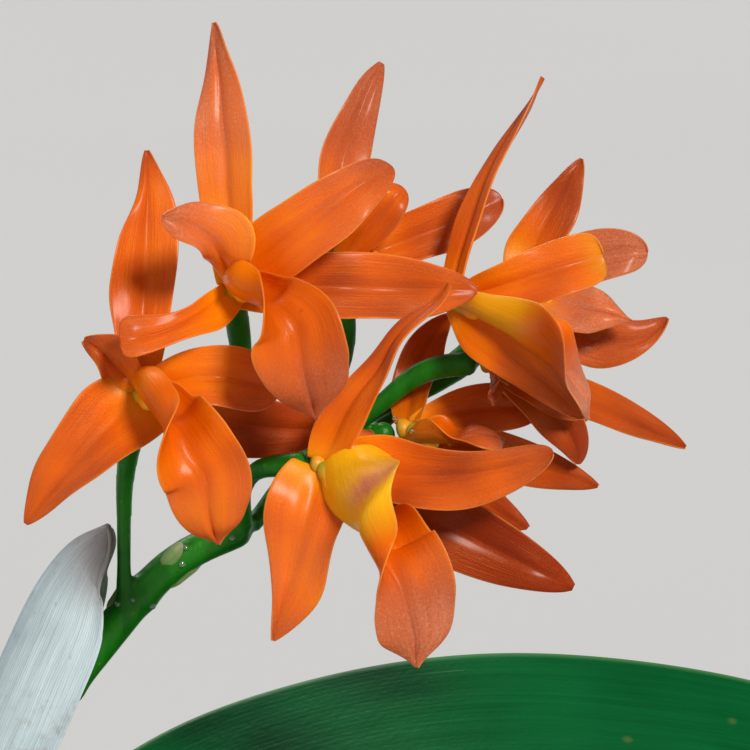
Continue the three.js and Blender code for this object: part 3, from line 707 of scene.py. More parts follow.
            {"via": (3.6, -5.6, -9), "tip": (3, -6.5, -15), "wide": 5, "face": (-0.8, 0.5, 0.1)},
            {"via": (10, -3.4, -4.5), "tip": (16.7, -3.3, -5), "wide": 5, "face": (0, 0.2, 1), "deep": 0},
        ],
        "lip": {
            "small": 0.75, "via": (8.5, -6.5, -0.5), "tip": (13, -6.6, -2),
            "faces": [(0, 1, 0.2), (0, 1, 0.2), (0.2, 0.8, 1)],
        },
    },
    {
        "node": "bloom_8_far_right", "at": (11.7, 1.2, -1),
        "pedicel": [(-11, -13.4, -3.5), (-6, -8.2, -3.5), (0, -3.3, -3), (5, 0.4, -2.5), (8.6, 1.5, -2)],
        "far": True,
        "sepals": [
            {
                "via": (17, -1.9, -1), "tip": (20.5, -4.4, -1), "wide": 3.6, "face": (0, -0.3, 1),
                "deep": 0.6,
            },
            {
                "via": (18, -3.8, -3.5), "tip": (20.3, -8.9, -4), "wide": 5, "face": (0.1, 0, 1),
                "deep": 0.7,
            },
            {
                "via": (22, -3.2, -5.5), "tip": (31.2, -7.2, -8), "wide": 4.8, "face": (0, 0.3, 1),
                "rightFull": (1, 1, 0.8, 0.7, 0.65, 0.6), "deep": 0.5,
            },
        ],
        "petals": [
            {"via": (12, -0.8, 0.6), "tip": (12, -2.2, 3), "wide": 3.4, "face": (1, 0, 0.1)},
            {"via": (14.5, 3.5, -6), "tip": (17.5, 2.2, -9.5), "wide": 5, "face": (0.1, 1, 0.3)},
        ],
        "lip": {
            "small": 0.7, "via": (16.5, 0.2, -4), "tip": (20, -1, -6),
            "faces": [(0, 1, 0.2), (0, 1, 0.2), (0.4, 0.8, 0.2)],
        },
    },
]

bloomForm = {
    "tepalStart": 0.3,  # from the bloom's middle to its tepals' roots
    "neck": 1.5,  # from the bloom's middle back to its pedicel
    "gap": 0.3,
    "lipDrop": 1.5,
    "cup": (1.25, 0.9),
    "column": 4,
    "columnRadii": (0.9, 0.9, 0.75, 0.85, 0.5),
    # a lip's half widths from its root to its tip, and how far its sides roll up
    "lipHalf": (1.6, 3.4, 4.4, 4, 2.2, 2.8, 3.6, 3.3, 1.9, 0.1),
    "lipRoll": (2.6, 2.5, 2.3, 1.6, 0.8, 0.4, 0.2, 0, -0.2),
    "thick": 0.55,
    "thinEdge": 0.3,
    "near": {"tepal": (26, 14), "lip": (38, 22)},
    "far": {"tepal": (20, 10), "lip": (26, 16)},
}


def tepalPlace(form, row, seed):
    # a tepal's surface: a shallow channel, waved edges, soft dents and a tip that curls back
    wave, curl, dent = row.get("wave", 0.35), row.get("curl", 0.5), row.get("dent", 0.85)
    turns = 1.3 + 0.5 * math.sin(seed * 2.3)

    def place(t, v):
        s = 1 - (1 - t) ** 1.6
        point, up, run = form(s, v)
        edge = abs(v) ** 2.5
        lift = wave * edge * ripple(s, v, turns, seed * 0.37, 0.3) * smooth(s, 0.1, 0.4)
        lift -= 0.4 * hump(v, 0.2) * smooth(s, 0, 0.2) * (1 - smooth(s, 0.75, 1))
        lift += dent * wobble(point, 6, seed) * smooth(s, 0.05, 0.3)
        lift -= curl * smooth(s, 0.65, 1) ** 2
        return point + up * lift, {"along": s, "across": v}

    return place


def lipForm(way, row):
    # a lip's point and upper side: a sheet rolled into a tube that opens out to its front lobe
    faces = [Vector(f) for f in row["faces"]]
    halves = [row.get(side, bloomForm["lipHalf"]) for side in ("left", "right")]
    leftRoll = row.get("roll", bloomForm["lipRoll"])
    rolls = leftRoll, row.get("rightRoll", leftRoll)

    def form(s, v):
        run = (way(min(s + 0.06, 1)) - way(max(s - 0.06, 0))).normalized()
        up = flow(faces, s)
        up = (up - run * up.dot(run)).normalized()
        side = run.cross(up)
        roll = flow(rolls[v > 0], s)
        half = max(flow(halves[v > 0], s), 0.05) * row.get("small", 1)
        lean = roll * abs(v) / 2
        short = math.sin(lean) / lean if abs(lean) > 1e-6 else 1
        out = half * v * short
        turned = roll * v
        point = way(s) + side * out * math.cos(lean) + up * abs(out) * math.sin(lean)
        if v > 0:  # the near side of the tube may reach forward
            where = smooth(s, 0.05, 0.2) * (1 - smooth(s, 0.3, 0.42))
            point += run * row.get("reach", 0) * (v**1.5 - 0.3 * v**6) * where
        return point, up * math.cos(turned) - side * math.sin(turned), run

    return form


def lipPlace(form, seed):
    # the rolled sides flare at their edges, and the front lobe has a crease down its middle
    def place(t, v):
        s = 1 - (1 - t) ** 1.3
        point, up, run = form(s, v)
        front = smooth(s, 0.4, 0.65)
        lift = -0.5 * hump(v, 0.12) * front * (1 - smooth(s, 0.92, 1))
        lift += 0.5 * front * (1 - v * v) * (1 - smooth(s, 0.85, 1))
        lift += 0.3 * abs(v) ** 3 * ripple(s, v, 2.2, 0.2 * seed, 0.4) * front
        lift -= 0.5 * abs(v) ** 6 * smooth(s, 0.15, 0.4) * (1 - front)
        lift += 0.55 * wobble(point, 5, seed + 20) * smooth(s, 0.2, 0.5)
        return point + up * lift, {"along": s, "across": v}

    return place


def petalSkin():
    # satin orange with faint veins, a golden root, a painted rosy sheen with painted pale glints of tiny
    # glassy cells to the edges, painted shade in the middle crease and where a tepal lies in shadow, and a
    # painted pale highlight along the rim
    skin = Finish(
        "petal_skin",
        Subsurface_Weight=0.25,
        Subsurface_Radius=(1, 0.3, 0.04),
        Subsurface_Scale=0.0012,
        Specular_IOR_Level=0.4,
        Specular_Tint=(1, 0.45, 0.15, 1),
        Coat_Weight=0.12,
        Coat_Roughness=0.2,
    )
    spot = skin.place()
    s, v = skin.mark("along"), skin.mark("across")
    # the deep mark is painted shade; the pink mark is a painted rosy sheen
    deep, pink, gold = (skin.mark(name) for name in ("deep", "pink", "gold"))
    far = abs(v)
    streaks = skin.noise(skin.vector(v * 6, s * 1.4, deep * 7), 1, 4, 0.6)
    fine = skin.noise(skin.vector(v * 30, s * 2.5, pink * 5), 1, 3, 0.6)
    patches = skin.noise(spot, 0.012, 2, 0.5)
    glassy = skin.cells(spot, 0.0002)
    speckle = skin.noise(spot, 0.00022, 3, 0.7)
    body = skin.ramp(
        s * 0.3 + streaks * 0.22 + patches * 0.9,
        (0.4, "#ffa008"),
        (0.56, "#fa7e02"),
        (0.72, "#e46000"),
        (0.92, "#a63a00"),
    )
    body = skin.mix(skin.step(gold + (streaks - 0.5) * 0.4, 0.2, 1.1), body, "#ffb614")
    # faint darker veins, and painted shade down the middle crease of each tepal
    body = skin.mix(skin.step(fine, 0.42, 0.25) * 0.08 + skin.step(far, 0.4, 0) * 0.16, body, "#b84002")
    # a painted rosy sheen towards the tip and edges, and on it painted pale glints of tiny glassy cells
    edge = skin.step(far * 0.5 + s * 0.7, 0.75, 1.15)
    rosy = (pink + edge * 0.18) * skin.step(streaks * 0.5 + patches * 0.5 + speckle * 0.5, 0.5, 0.95)
    body = skin.mix(rosy, body, "#d27a56")
    body = skin.mix((rosy + edge * 0.06) * skin.step(speckle, 0.52, 0.7) * 0.22, body, "#ffb492")
    dots = skin.step(skin.cells(spot, 0.003), 0.09, 0.06) * skin.mark("freckles")
    body = skin.mix(dots, body, "#8c0c08")
    # painted shade: deep red where a tepal lies in shadow or behind other blooms
    body = skin.mix(deep * 0.85, body, "#8a1f02")
    # a painted pale highlight along the rim
    body = skin.mix(skin.step(far, 0.96, 1.0) * 0.3, body, "#ffa64e")
    relief = skin.bump(fine + streaks, 0.00006)
    relief = skin.bump(glassy + speckle * 0.7, 0.00002, relief)
    gloss = skin.step(streaks * 0.6 + speckle * 0.4, 0.25, 0.8, (0.32, 0.46))
    return skin.use(body, gloss, relief)


def heartSkin():
    # the column and the cup behind it: waxy yellow-green that turns orange
    skin = Finish(
        "heart_skin", Subsurface_Weight=0.2, Subsurface_Radius=(1, 0.6, 0.15), Subsurface_Scale=0.001
    )
    s = skin.mark("along")
    spot = skin.place()
    mottle = skin.noise(spot, 0.0012, 3)
    body = skin.ramp(
        s * 0.8 + mottle * 0.3,
        (0.12, "#5f8f1c"),
        (0.45, "#c99a14"),
        (0.75, "#f59a10"),
        (1, "#ffb818"),
    )
    relief = skin.bump(mottle, 0.0001)
    return skin.use(body, skin.step(mottle, 0.2, 0.8, (0.35, 0.5)), relief)


petalFinish = petalSkin()
heartFinish = heartSkin()


def tepalMarks(row, s, v):
    # how golden a tepal is, and how much painted rosy sheen and painted shade it has, from its root to its
    # tip; a golden tip is a painted glow of light shining through it
    gold = row.get("gold", 0.5) * (1 - smooth(s, 0, 0.35)) + row.get("goldTip", 0) * smooth(s, 0.6, 1)
    return {"gold": gold, "pink": row.get("pink", 0.15) * smooth(s, 0.15, 0.6), "deep": row.get("deep", 0)}


def lipMarks(row, s, v):
    near = smooth(v, -0.3, 0.3)  # the near side stays golden for longer
    gold = row.get("gold", 0.45) * (1 - smooth(s, 0.1 + 0.2 * near, 0.28 + 0.28 * near))
    # the lip's pink mark is a painted rosy sheen
    pinkFrom = row.get("pinkFrom", 0.5)
    pink = row.get("pink", 0.4) * smooth(s, pinkFrom, pinkFrom + 0.3)
    # a painted sheen in a dent of the lip, added to the painted rosy sheen
    if "blush" in row:
        at, across, wide, broad = row["blush"]
        pink += 1.9 * hump(s - at, wide) * hump(v - across, broad)
    freckles = row.get("freckles", 0) * hump(s - 0.58, 0.12) * hump(v, 0.45)
    return {"gold": gold, "pink": pink, "freckles": freckles}


def coloured(place, row, marksAt):
    # a surface with its colour marks
    def both(t, v):
        point, more = place(t, v)
        return point, {**more, **marksAt(row, more["along"], v)}

    return both


def lipWay(bloom, middle):
    row = bloom["lip"]
    if "path" in row:
        return spline([placed(p) for p in row["path"]])
    base = middle - Vector(row["faces"][0]).normalized() * bloomForm["lipDrop"]
    return arc(base, placed(row["via"]), placed(row["tip"]))


def makePetals(bloom, number):
    middle = placed(bloom["at"])
    grid = bloomForm["far" if bloom.get("far") else "near"]
    # blooms that lie behind the others are given painted shade
    shade = {"deep": 0.25} if bloom.get("far") else {}
    bm = bmesh.new()
    marks = layers(bm, ("along", "across", "deep", "pink", "gold", "freckles"))
    seed = number * 5
    for kind in ("sepal", "petal"):
        for row in bloom[kind + "s"]:
            seed += 1
            row = {**shade, **row}
            via, tip = placed(row["via"]), placed(row["tip"])
            base = middle + (via - middle).normalized() * bloomForm["tepalStart"]
            place = tepalPlace(bladeForm(arc(base, via, tip), row, outlines[kind]), row, seed)
            lay(bm, *grid["tepal"], coloured(place, row, tepalMarks), marks)
    row = bloom["lip"]
    place = lipPlace(lipForm(lipWay(bloom, middle), row), seed)
    lay(bm, *grid["lip"], coloured(place, row, lipMarks), marks)
    weigh(bm, marks, lambda s, v: (1 - abs(v) ** 3) * (1 - smooth(s, 0.85, 1)))
    piece = settle(bloom["node"] + "_petals", bm, headToWorld, [petalFinish])
    thicken(piece, bloomForm["thick"], bloomForm["thinEdge"])
    keep(piece, bloom["node"])


def makeHeart(bloom):
    # the cup that all grow from, and the column that the lip is rolled round
    middle = placed(bloom["at"])
    back = (placed(bloom["pedicel"][-1]) - middle).normalized()
    bm = bmesh.new()
    marks = layers(bm, ("along", "across"))
    start, end = middle + back * (bloomForm["neck"] - bloomForm["gap"]), middle - back * 0.5
    line = Line(lambda t: start.lerp(end, t), 12)
    tube(bm, line, lambda t, turn: blend(*bloomForm["cup"], t), 10, 14, marks, ends=(0.6, 0.9))
    forward = (lipWay(bloom, middle)(0.2) - middle).normalized()
    line = Line(lambda t: middle + forward * bloomForm["column"] * t, 12)
    tube(bm, line, lambda t, turn: along(bloomForm["columnRadii"], t), 16, 14, marks, ends=(0.5, 1))
    heart = settle(bloom["node"] + "_heart", bm, headToWorld, [heartFinish])
    roundOff(heart)
    keep(heart, bloom["node"], replace=False)


for number, bloom in enumerate(blooms):
    makePetals(bloom, number)
    makeHeart(bloom)
print("blooms made")

# Stalk with its pedicels, bracts and drops of nectar
stalk = {
    "line": [
        (-50.2, -75.6, -5),
        (-43.6, -57, -5),
        (-34.6, -36.4, -4.5),
        (-27.5, -26.8, -4),
        (-20, -18.8, -3.5),
        (-12.5, -15.2, -3.5),
    ],
    "radii": (2.6, 2.4, 2.2, 2.0, 1.8, 1.6),
    "pedicelRadii": (0.95, 0.75, 0.78, 0.95, 1.2, 1.3),
    "nodes": (0.18, 0.44, 0.66, 0.82),
    "voxel": 0.36,
    # small dry bracts: how far up the stalk, which side they sit on, and their size
    "bracts": [
        {"at": 0.775, "turn": -80, "long": 3, "wide": 1.8},
        {"at": 0.855, "turn": 95, "long": 4, "wide": 1.6},
        {"at": 0.87, "turn": -30, "long": 3, "wide": 2},
    ],
}


def stalkSkin():
    # living green with long fine streaks and a few paler flecks
    skin = Finish(
        "stalk_skin",
        Subsurface_Weight=0.12,
        Subsurface_Radius=(0.3, 1, 0.15),
        Subsurface_Scale=0.0012,
        Specular_Tint=(0.6, 1, 0.5, 1),
    )
    spot = skin.place()
    turned = skin.stretched(spot, Rotation=(0, math.radians(-32), 0), Scale=(1, 1, 0.12))
    streaks = skin.noise(turned, 0.0011, 4, 0.6)
    patches = skin.noise(spot, 0.009, 3)
    flecks = skin.cells(spot, 0.0016)
    body = skin.ramp(streaks * 0.55 + patches * 0.5, (0.3, "#004a02"), (0.75, "#1f7c12"))
    body = skin.mix(skin.step(flecks, 0.16, 0.04) * 0.2, body, "#8fae5a")
    relief = skin.bump(streaks, 0.00012)
    relief = skin.bump(skin.noise(spot, 0.0003, 2), 0.00003, relief)
    return skin.use(body, skin.step(patches, 0.2, 0.8, (0.32, 0.48)), relief)


def paperSkin(name, light, dark, stain, stainFrom, rough, veinCount=26, shadeAndWear=None):
    # dry sheath tissue: close parallel veins, blotches, a stained tip, and, where given, the piece's own
    # worn patches and painted shade
    skin = Finish(
        name,
        Subsurface_Weight=0.1,
        Subsurface_Radius=(1, 0.9, 0.7),
        Subsurface_Scale=0.001,
        Specular_IOR_Level=0.3,
    )
    spot = skin.place()
    s, v = skin.mark("along"), skin.mark("across")
    bend = skin.noise(skin.vector(v * 1.5, s * 3), 1, 2)
    veins = skin.wave(v * veinCount + bend * 2) ** 3
    fibres = skin.noise(skin.vector(v * 40, s * 5), 1, 4, 0.65)
    patches = skin.noise(spot, 0.008, 4, 0.6)
    body = skin.ramp(fibres * 0.6 + patches * 0.5, (0.3, dark), (0.75, light))
    body = skin.mix(veins * skin.step(patches, 0.4, 0.65) * 0.16, body, "#8d8a86", "MULTIPLY")
    stained = skin.step(s + (patches - 0.5) * 0.25, *stainFrom)
    body = skin.mix(stained * 0.75, body, stain)
    specks = skin.step(skin.cells(spot, 0.0022), 0.16, 0.05)
    body = skin.mix(specks * 0.2, body, "#5d4a3a")
    if shadeAndWear:
        body = shadeAndWear(skin, body)
    relief = skin.bump(veins * -0.4 + fibres, 0.00006)
    return skin.use(body, skin.step(fibres, 0.2, 0.8, rough), relief)


def nectarSkin():
    skin = Finish("nectar", Transmission_Weight=0.9, IOR=1.36, Roughness=0.03, Coat_Weight=1.0)
    cloud = skin.noise(skin.place(), 0.0006, 2)
    return skin.use(skin.mix(cloud, (0.75, 0.95, 0.75, 1), (0.95, 1, 0.95, 1)))


# where the photograph shows the drops, in its pixels, and their size in mm
drops = {
    "seenAt": [
        (118, 604), (133, 600), (152, 606), (186, 548), (182, 564), (232, 538),
        (395, 419), (410, 424), (413, 431),
    ],
    "size": 0.32, "spread": (0.8, 1.25),
}


def makeStalk():
    bm = bmesh.new()
    marks = layers(bm, ("along",))
    line = Line(spline(stalk["line"]))

    def radius(t, turn):
        ring = sum(hump(t - at, 0.012) for at in stalk["nodes"])
        return along(stalk["radii"], t) * (1 + 0.02 * math.sin(5 * turn + 9 * t)) + 0.22 * ring

    def pedicelRadius(t, turn):
        return along(stalk["pedicelRadii"], t) * (1 + 0.05 * math.sin(3 * turn) * t)

    tube(bm, line, radius, 110, 22, marks, ends=(0.5, 1))
    for bloom in blooms:
        middle = placed(bloom["at"])
        points = [placed(p) for p in bloom["pedicel"]]
        back = (points[-1] - middle).normalized()
        points[-1] = middle + back * bloomForm["neck"]
        tube(bm, Line(spline(points)), pedicelRadius, 48, 14, marks, ends=(0.6, 0.7))
    piece = settle("living_stalk", bm, headToWorld, [stalkSkin()])
    modify(piece, "REMESH", mode="VOXEL", voxel_size=stalk["voxel"] * mm)
    modify(piece, "SMOOTH", factor=0.5, iterations=4)
    bake(piece)
    keep(piece, "flower_stalk")


def makeBracts():
    bm = bmesh.new()
    marks = layers(bm, ("along", "across"))
    line = Line(spline(stalk["line"]))
    for seed, row in enumerate(stalk["bracts"]):
        point, ahead, right, front = line.at(row["at"])
        turn = math.radians(row["turn"])
        # towards the viewer is turn 0, and to the stalk's lower side is turn 90
        toView = (Vector((0, 0, 1)) - ahead * ahead.z).normalized()
        out = toView * math.cos(turn) + toView.cross(ahead) * -math.sin(turn)
        foot = point + out * (along(stalk["radii"], row["at"]) - 0.15)
        reach = ahead * row["long"]
        way = arc(foot, foot + reach * 0.5 + out * 0.12, foot + reach + out * 0.3)
        form = bladeForm(way, {"face": -out, "wide": row["wide"], "cup": (0.9, 0.6)}, outlines["sepal"])
        lay(bm, 14, 8, tepalPlace(form, {"wave": 0.08, "dent": 0.08, "curl": 0.1}, seed), marks)
    finish = paperSkin("bract_paper", "#a3bb76", "#5f9147", "#cdcaa2", (0.5, 1.1), (0.5, 0.7))
    bracts = settle("stalk_bracts", bm, headToWorld, [finish])
    modify(bracts, "SOLIDIFY", thickness=0.25 * mm, offset=0)
    roundOff(bracts)
    keep(bracts, "flower_stalk", replace=False)


def makeDrops():
    # drops of nectar sit where the viewer sees them, on the stalk or a bloom
    names = ["living_stalk"] + [bloom["node"] + "_petals" for bloom in blooms]
    graph = bpy.context.evaluated_depsgraph_get()
    trees = [BVHTree.FromObject(scene.objects[name], graph) for name in names]
    middle, perMm = picture["middle"], picture["perMm"]
    bm = bmesh.new()
    for x, y in drops["seenAt"]:
        aim = headToWorld @ Vector(((x - middle) / perMm, (middle - y) / perMm, 0)) - eye
        hits = [tree.ray_cast(eye, aim.normalized()) for tree in trees]
        hits = [hit for hit in hits if hit[0] is not None]
        if not hits:
            continue
        at, normal = min(hits, key=lambda hit: hit[3])[:2]
        size = drops["size"] * random.uniform(*drops["spread"]) * mm
        turn = normal.to_track_quat("Z", "Y").to_matrix().to_4x4()
        place = Matrix.Translation(at + normal * size * 0.35) @ turn @ Matrix.Diagonal((1, 1, 0.8, 1))
        bmesh.ops.create_icosphere(bm, subdivisions=3, radius=size, matrix=place)
    for face in bm.faces:
        face.smooth = True
    piece = settle("nectar_drops", bm, Matrix.Identity(4), [nectarSkin()])
    keep(piece, "flower_stalk", replace=False)


makeStalk()
makeBracts()
makeDrops()
print("stalk made")

# Flower sheath
sheath = {
    "path": [
        (-55.6, -73.4, -5), (-48, -54, -5), (-40.6, -36, -4.7), (-36.9, -27, -4.5), (-33.6, -20.6, -4),
        (-30.4, -16.9, -3), (-26.8, -15.1, -2),
    ],
    "wide": 20, "leftFull": (1, 1.05, 1.12, 1.16, 1.14, 1.05), "rightFull": (1, 1, 0.95, 0.86, 0.76, 0.7),
    "face": (0.94, -0.34, 0.05), "faceTip": (0.5, -0.86, 0.1), "crease": 0.45, "thick": 0.5,
}


def sheathShadeAndWear(skin, body):
    # a greener tint low down on one side, partly its own colour and partly painted shade, and worn brown
    # patches
    low = skin.step(skin.mark("along"), 0.62, 0.3)
    # painted shade, darker and greener, on the lower part of one side
    body = skin.mix(low * skin.step(skin.mark("across"), -0.2, 0.9) * 0.45, body, "#6f8f8a")
    spot = skin.place()
    worn = skin.noise(spot, 0.012, 5, 0.7) + skin.noise(spot, 0.0016, 3, 0.7) * 0.5
    return skin.mix(skin.step(worn, 0.74, 0.98) * 0.6, body, "#8c7c70")


def makeSheath():
    form = bladeForm(spline(sheath["path"]), sheath, outlines["sheath"], crease=sheath["crease"])

    def place(t, v):
        s = 1 - (1 - t) ** 1.4
        v = math.copysign(abs(v) ** 1.25, v)
        point, up, run = form(s, v)
        lift = 0.03 * math.sin(34 * v + 2 * wobble((0, 0, s * 40), 12))
        lift *= smooth(s, 0, 0.2) * (1 - smooth(s, 0.9, 1))
        lift += 0.55 * wobble(point, 11, 4) * abs(v)
        lift -= 0.8 * abs(v) ** 10
        return point + up * lift, {"along": s, "across": v}

    bm = bmesh.new()
    marks = layers(bm, ("along", "across"))
    lay(bm, 90, 72, place, marks)
    weigh(bm, marks, lambda s, v: 1 - abs(v) ** 4)
    tints = ("#dbebef", "#a3b4b9", "#a39084")
    finish = paperSkin("sheath_paper", *tints, (0.66, 1.04), (0.5, 0.75), 44, sheathShadeAndWear)
    piece = settle("papery_sheath", bm, headToWorld, [finish])
    thicken(piece, sheath["thick"], 0.5)
    keep(piece, "flower_sheath")


makeSheath()
print("flower sheath made")

# Canes and their dry sleeves
canes = {
    "cane_5_oldest": {
        "foot": (37, 20.8, 98.5), "via": (46, 30.6, 122), "top": (52, 42, 150),
        "radii": (3.6, 4.4, 7.0, 7.4, 6.0, 4.2), "age": 1, "crown": 0,
    },
    "cane_4": {
        "foot": (23, 13, 98.5), "via": (30, 16, 136), "top": (41, 25, 174),
        "radii": (3.8, 4.6, 7.6, 8.4, 7.2, 5.6), "age": 0.7,
    },
    "cane_3": {
        "foot": (8, 4.5, 98.5), "via": (10, 2, 142), "top": (21, -4, 184),
        "radii": (3.8, 4.8, 8.0, 9.2, 7.4, 5.6), "age": 0.45,
    },
    "cane_2": {
        "foot": (-9, -4.5, 98.5), "via": (-10, 6, 148), "top": (-3, 20, 194),
        "radii": (4.0, 5.0, 8.2, 9.6, 7.6, 5.6), "age": 0.25,
    },
    "cane_1_flowering": {
        "foot": (-26, -12.5, 98.5), "via": (-33, -16, 160), "top": (-38.5, -16.5, 222.5),
        "radii": (4.0, 5.2, 8.6, 10, 8.8, 7.6), "age": 0,
    },
}
caneForm = {
    "crown": 1.1, "nodes": (0.07, 0.2, 0.36, 0.54, 0.73, 0.92), "rows": 150, "sides": 56, "furrows": 11,
    "furrowDeep": 0.018,
}
sleeveForm = {
    "from": 0.1, "to": 0.44, "rows": 56, "sides": 84, "torn": 0.12, "thick": 0.35, "overlap": 0.14,
}


def caneSkin():
    # waxy green that yellows with age, dark scars at the nodes and fine length-wise wrinkles
    skin = Finish(
        "cane_skin", Subsurface_Weight=0.08, Subsurface_Radius=(0.5, 1, 0.2), Subsurface_Scale=0.0015
    )
    spot = skin.place()
    s, east, north, age, scar = (skin.mark(name) for name in ("along", "east", "north", "age", "scar"))
    strokes = skin.noise(skin.vector(east * 5, north * 5, s * 4 + age * 9), 1, 4, 0.65)
    patches = skin.noise(spot, 0.014, 4)
    body = skin.ramp(
        strokes * 0.5 + patches * 0.5, (0.3, "#4e6b1f"), (0.55, "#6f8f33"), (0.8, "#93a851")
    )
    body = skin.mix(skin.step(age + (patches - 0.5) * 0.7, 0.2, 1.1), body, "#a08a42")
    body = skin.mix(scar * 0.75, body, "#6b5433")
    specks = skin.step(skin.cells(spot, 0.003), 0.17, 0.06)
    body = skin.mix(specks * 0.5, body, "#4a3a1e")
    relief = skin.bump(strokes + scar * -0.5, 0.0003)
    return skin.use(body, skin.step(strokes, 0.2, 0.8, (0.34, 0.56)), relief)


caneFinish = caneSkin()
sleeveFinish = paperSkin("sleeve_paper", "#c8b692", "#8f7a5c", "#7a6248", (0.75, 1.05), (0.6, 0.85))


def makeCane(name, row, number):
    way = arc(row["foot"], row["via"], row["top"])
    crown = (way(1) - way(0.98)).normalized() * row.get("crown", caneForm["crown"])
    line = Line(lambda t: way(t) + crown * smooth(t, 0.9, 1), 120)
    age = row["age"]

    def scar(t):
        return max(hump(t - at, 0.012) for at in caneForm["nodes"])

    def radius(t, turn):
        furrow = caneForm["furrowDeep"] * (0.6 + 1.4 * age) * (1 - scar(t))
        ridges = math.cos(caneForm["furrows"] * turn + 1.5 * math.sin(4 * t + number))
        between = wobble((math.cos(turn) * 9, math.sin(turn) * 9, t * line.length), 9, number)
        share = 1 + furrow * (ridges - 1) + 0.02 * between - 0.03 * scar(t)
        return along(row["radii"], t) * share + 0.25 * scar(t + 0.008)

    bm = bmesh.new()
    marks = layers(bm, ("along", "east", "north", "age", "scar"))
    tube(bm, line, radius, caneForm["rows"], caneForm["sides"], marks, {"age": age}, ends=(0.5, 0.32))
    for vert in bm.verts:
        vert[marks["scar"]] = scar(vert[marks["along"]])
    piece = settle(name + "_stem", bm, toWorld, [caneFinish])
    keep(piece, name)
    return line


def makeSleeve(name, row, number, line):
    # the dry sleeve wraps the lower part once, with one edge lying over the other and a torn top
    def place(t, v):
        turn = math.pi * v * (1 + sleeveForm["overlap"]) + number
        jag = 1 + math.sin(2 * turn) + 0.6 * math.cos(5 * turn) + 0.7 * wobble((v * 40, 0, 0), 3, number)
        jag += 0.5 * wobble((v * 40, 0, 0), 0.9, number)
        s = t * (1 - sleeveForm["torn"] * max(jag, 0.0))
        at = blend(sleeveForm["from"], sleeveForm["to"], s)
        point, ahead, right, front = line.at(at)
        r = along(row["radii"], at) + blend(0.35, 0.75, smooth(t, 0, 0.2)) + 0.35 * (v + 1) / 2
        bulge = max(wobble(point + Vector((0, 0, 9 * v)), 9, number), -0.4)
        r += 0.12 * math.sin(26 * turn) + 0.45 * bulge * t
        r += 1.3 * smooth(t, 0.8, 1) * max(wobble((v * 30, 0, 0), 5, number + 3), 0)
        return point + r * (math.cos(turn) * right + math.sin(turn) * front), {"along": s, "across": v}

    bm = bmesh.new()
    marks = layers(bm, ("along", "across"))
    lay(bm, sleeveForm["rows"], sleeveForm["sides"], place, marks)
    node = "sleeve_" + name.split("_")[1]
    sleeve = settle(node + "_paper", bm, toWorld, [sleeveFinish])
    modify(sleeve, "SOLIDIFY", thickness=sleeveForm["thick"] * mm, offset=0)
    keep(sleeve, node)


for number, (name, row) in enumerate(canes.items()):
    line = makeCane(name, row, number)
    makeSleeve(name, row, number, line)
print("canes and sleeves made")

# Leaves
leaves = {
    "leaf_1_right": {
        "cane": "cane_1_flowering", "via": (20, -11, 254.4), "tip": (96, -6, 235), "wide": 44,
        "face": (0, -0.16, 1), "grid": (96, 40),
    },
    "leaf_1_left": {
        "cane": "cane_1_flowering", "via": (-86, -8, 270), "tip": (-138, 6, 250), "wide": 38,
        "face": (0.3, -0.15, 1), "lift": 0.5,
    },
    "leaf_2_left": {
        "cane": "cane_2", "via": (-42, 52, 224), "tip": (-86, 84, 204), "wide": 36,
        "face": (0.1, -0.2, 1),
    },
    "leaf_2_right": {
        "cane": "cane_2", "via": (36, -12, 222), "tip": (82, -44, 204), "wide": 36,
        "face": (-0.1, 0.1, 1),
    },
    "leaf_3_front": {
        "cane": "cane_3", "via": (10, -56, 212), "tip": (-8, -108, 192), "wide": 36, "face": (0, 0.2, 1),
    },
    "leaf_3_back": {
        "cane": "cane_3", "via": (60, 24, 214), "tip": (108, 52, 198), "wide": 34, "face": (-0.2, 0, 1),
    },
    "leaf_4_front": {
        "cane": "cane_4", "via": (84, 4, 188), "tip": (126, -12, 166), "wide": 33, "face": (-0.2, 0, 1),
    },
    "leaf_4_back": {
        "cane": "cane_4", "via": (24, 74, 198), "tip": (8, 118, 176), "wide": 32, "face": (0, -0.2, 1),
    },
}
leafForm = {
    "grid": (64, 28), "thick": 1.5, "thinEdge": 0.3, "crease": 0.35, "lift": 0.6, "rootIn": 2.6,
}


def leafSkin():
    # thick leathery dark green, fine parallel veins, a paler midrib and margin, a few old marks
    skin = Finish("leaf_skin", Specular_IOR_Level=0.18, Specular_Tint=(0.3, 1, 0.5, 1))
    spot = skin.place()
    s, v = skin.mark("along"), skin.mark("across")
    strokes = skin.noise(skin.vector(v * 26, s * 5), 1, 4, 0.65)
    veins = skin.wave(v * 34 + skin.noise(skin.vector(v, s * 3), 1, 2) * 1.2) ** 4
    patches = skin.noise(spot, 0.02, 4)
    far = abs(v)
    body = skin.ramp(
        strokes * 0.35 + patches * 0.65, (0.3, "#00431c"), (0.6, "#005c2a"), (0.85, "#047034")
    )
    body = skin.mix(veins * 0.06, body, "#003818")
    body = skin.mix(skin.step(far, 0.05, 0.0) * 0.5, body, "#3c8a4e")
    body = skin.mix(skin.step(far, 0.95, 1.0) * 0.6, body, "#5f9a5a")
    body = skin.mix(skin.step(s, 0.12, 0.0) * 0.6, body, "#7c9a4a")
    dots = skin.step(skin.cells(spot, 0.011), 0.075, 0.03)
    body = skin.mix(dots * 0.6, body, "#5a6a3a")
    scratch = skin.step(skin.noise(skin.vector(v * 60, s * 9, 3), 1, 2), 0.72, 0.8)
    body = skin.mix(scratch * 0.3, body, "#6fa586")
    relief = skin.bump(veins * -0.3 + strokes * 0.6, 0.00002)
    relief = skin.bump(skin.noise(spot, 0.0007, 2), 0.00004, relief)
    gloss = skin.step(strokes * 0.6 + patches * 0.4, 0.3, 0.75, (0.3, 0.46))
    return skin.use(body, gloss, relief)


leafFinish = leafSkin()


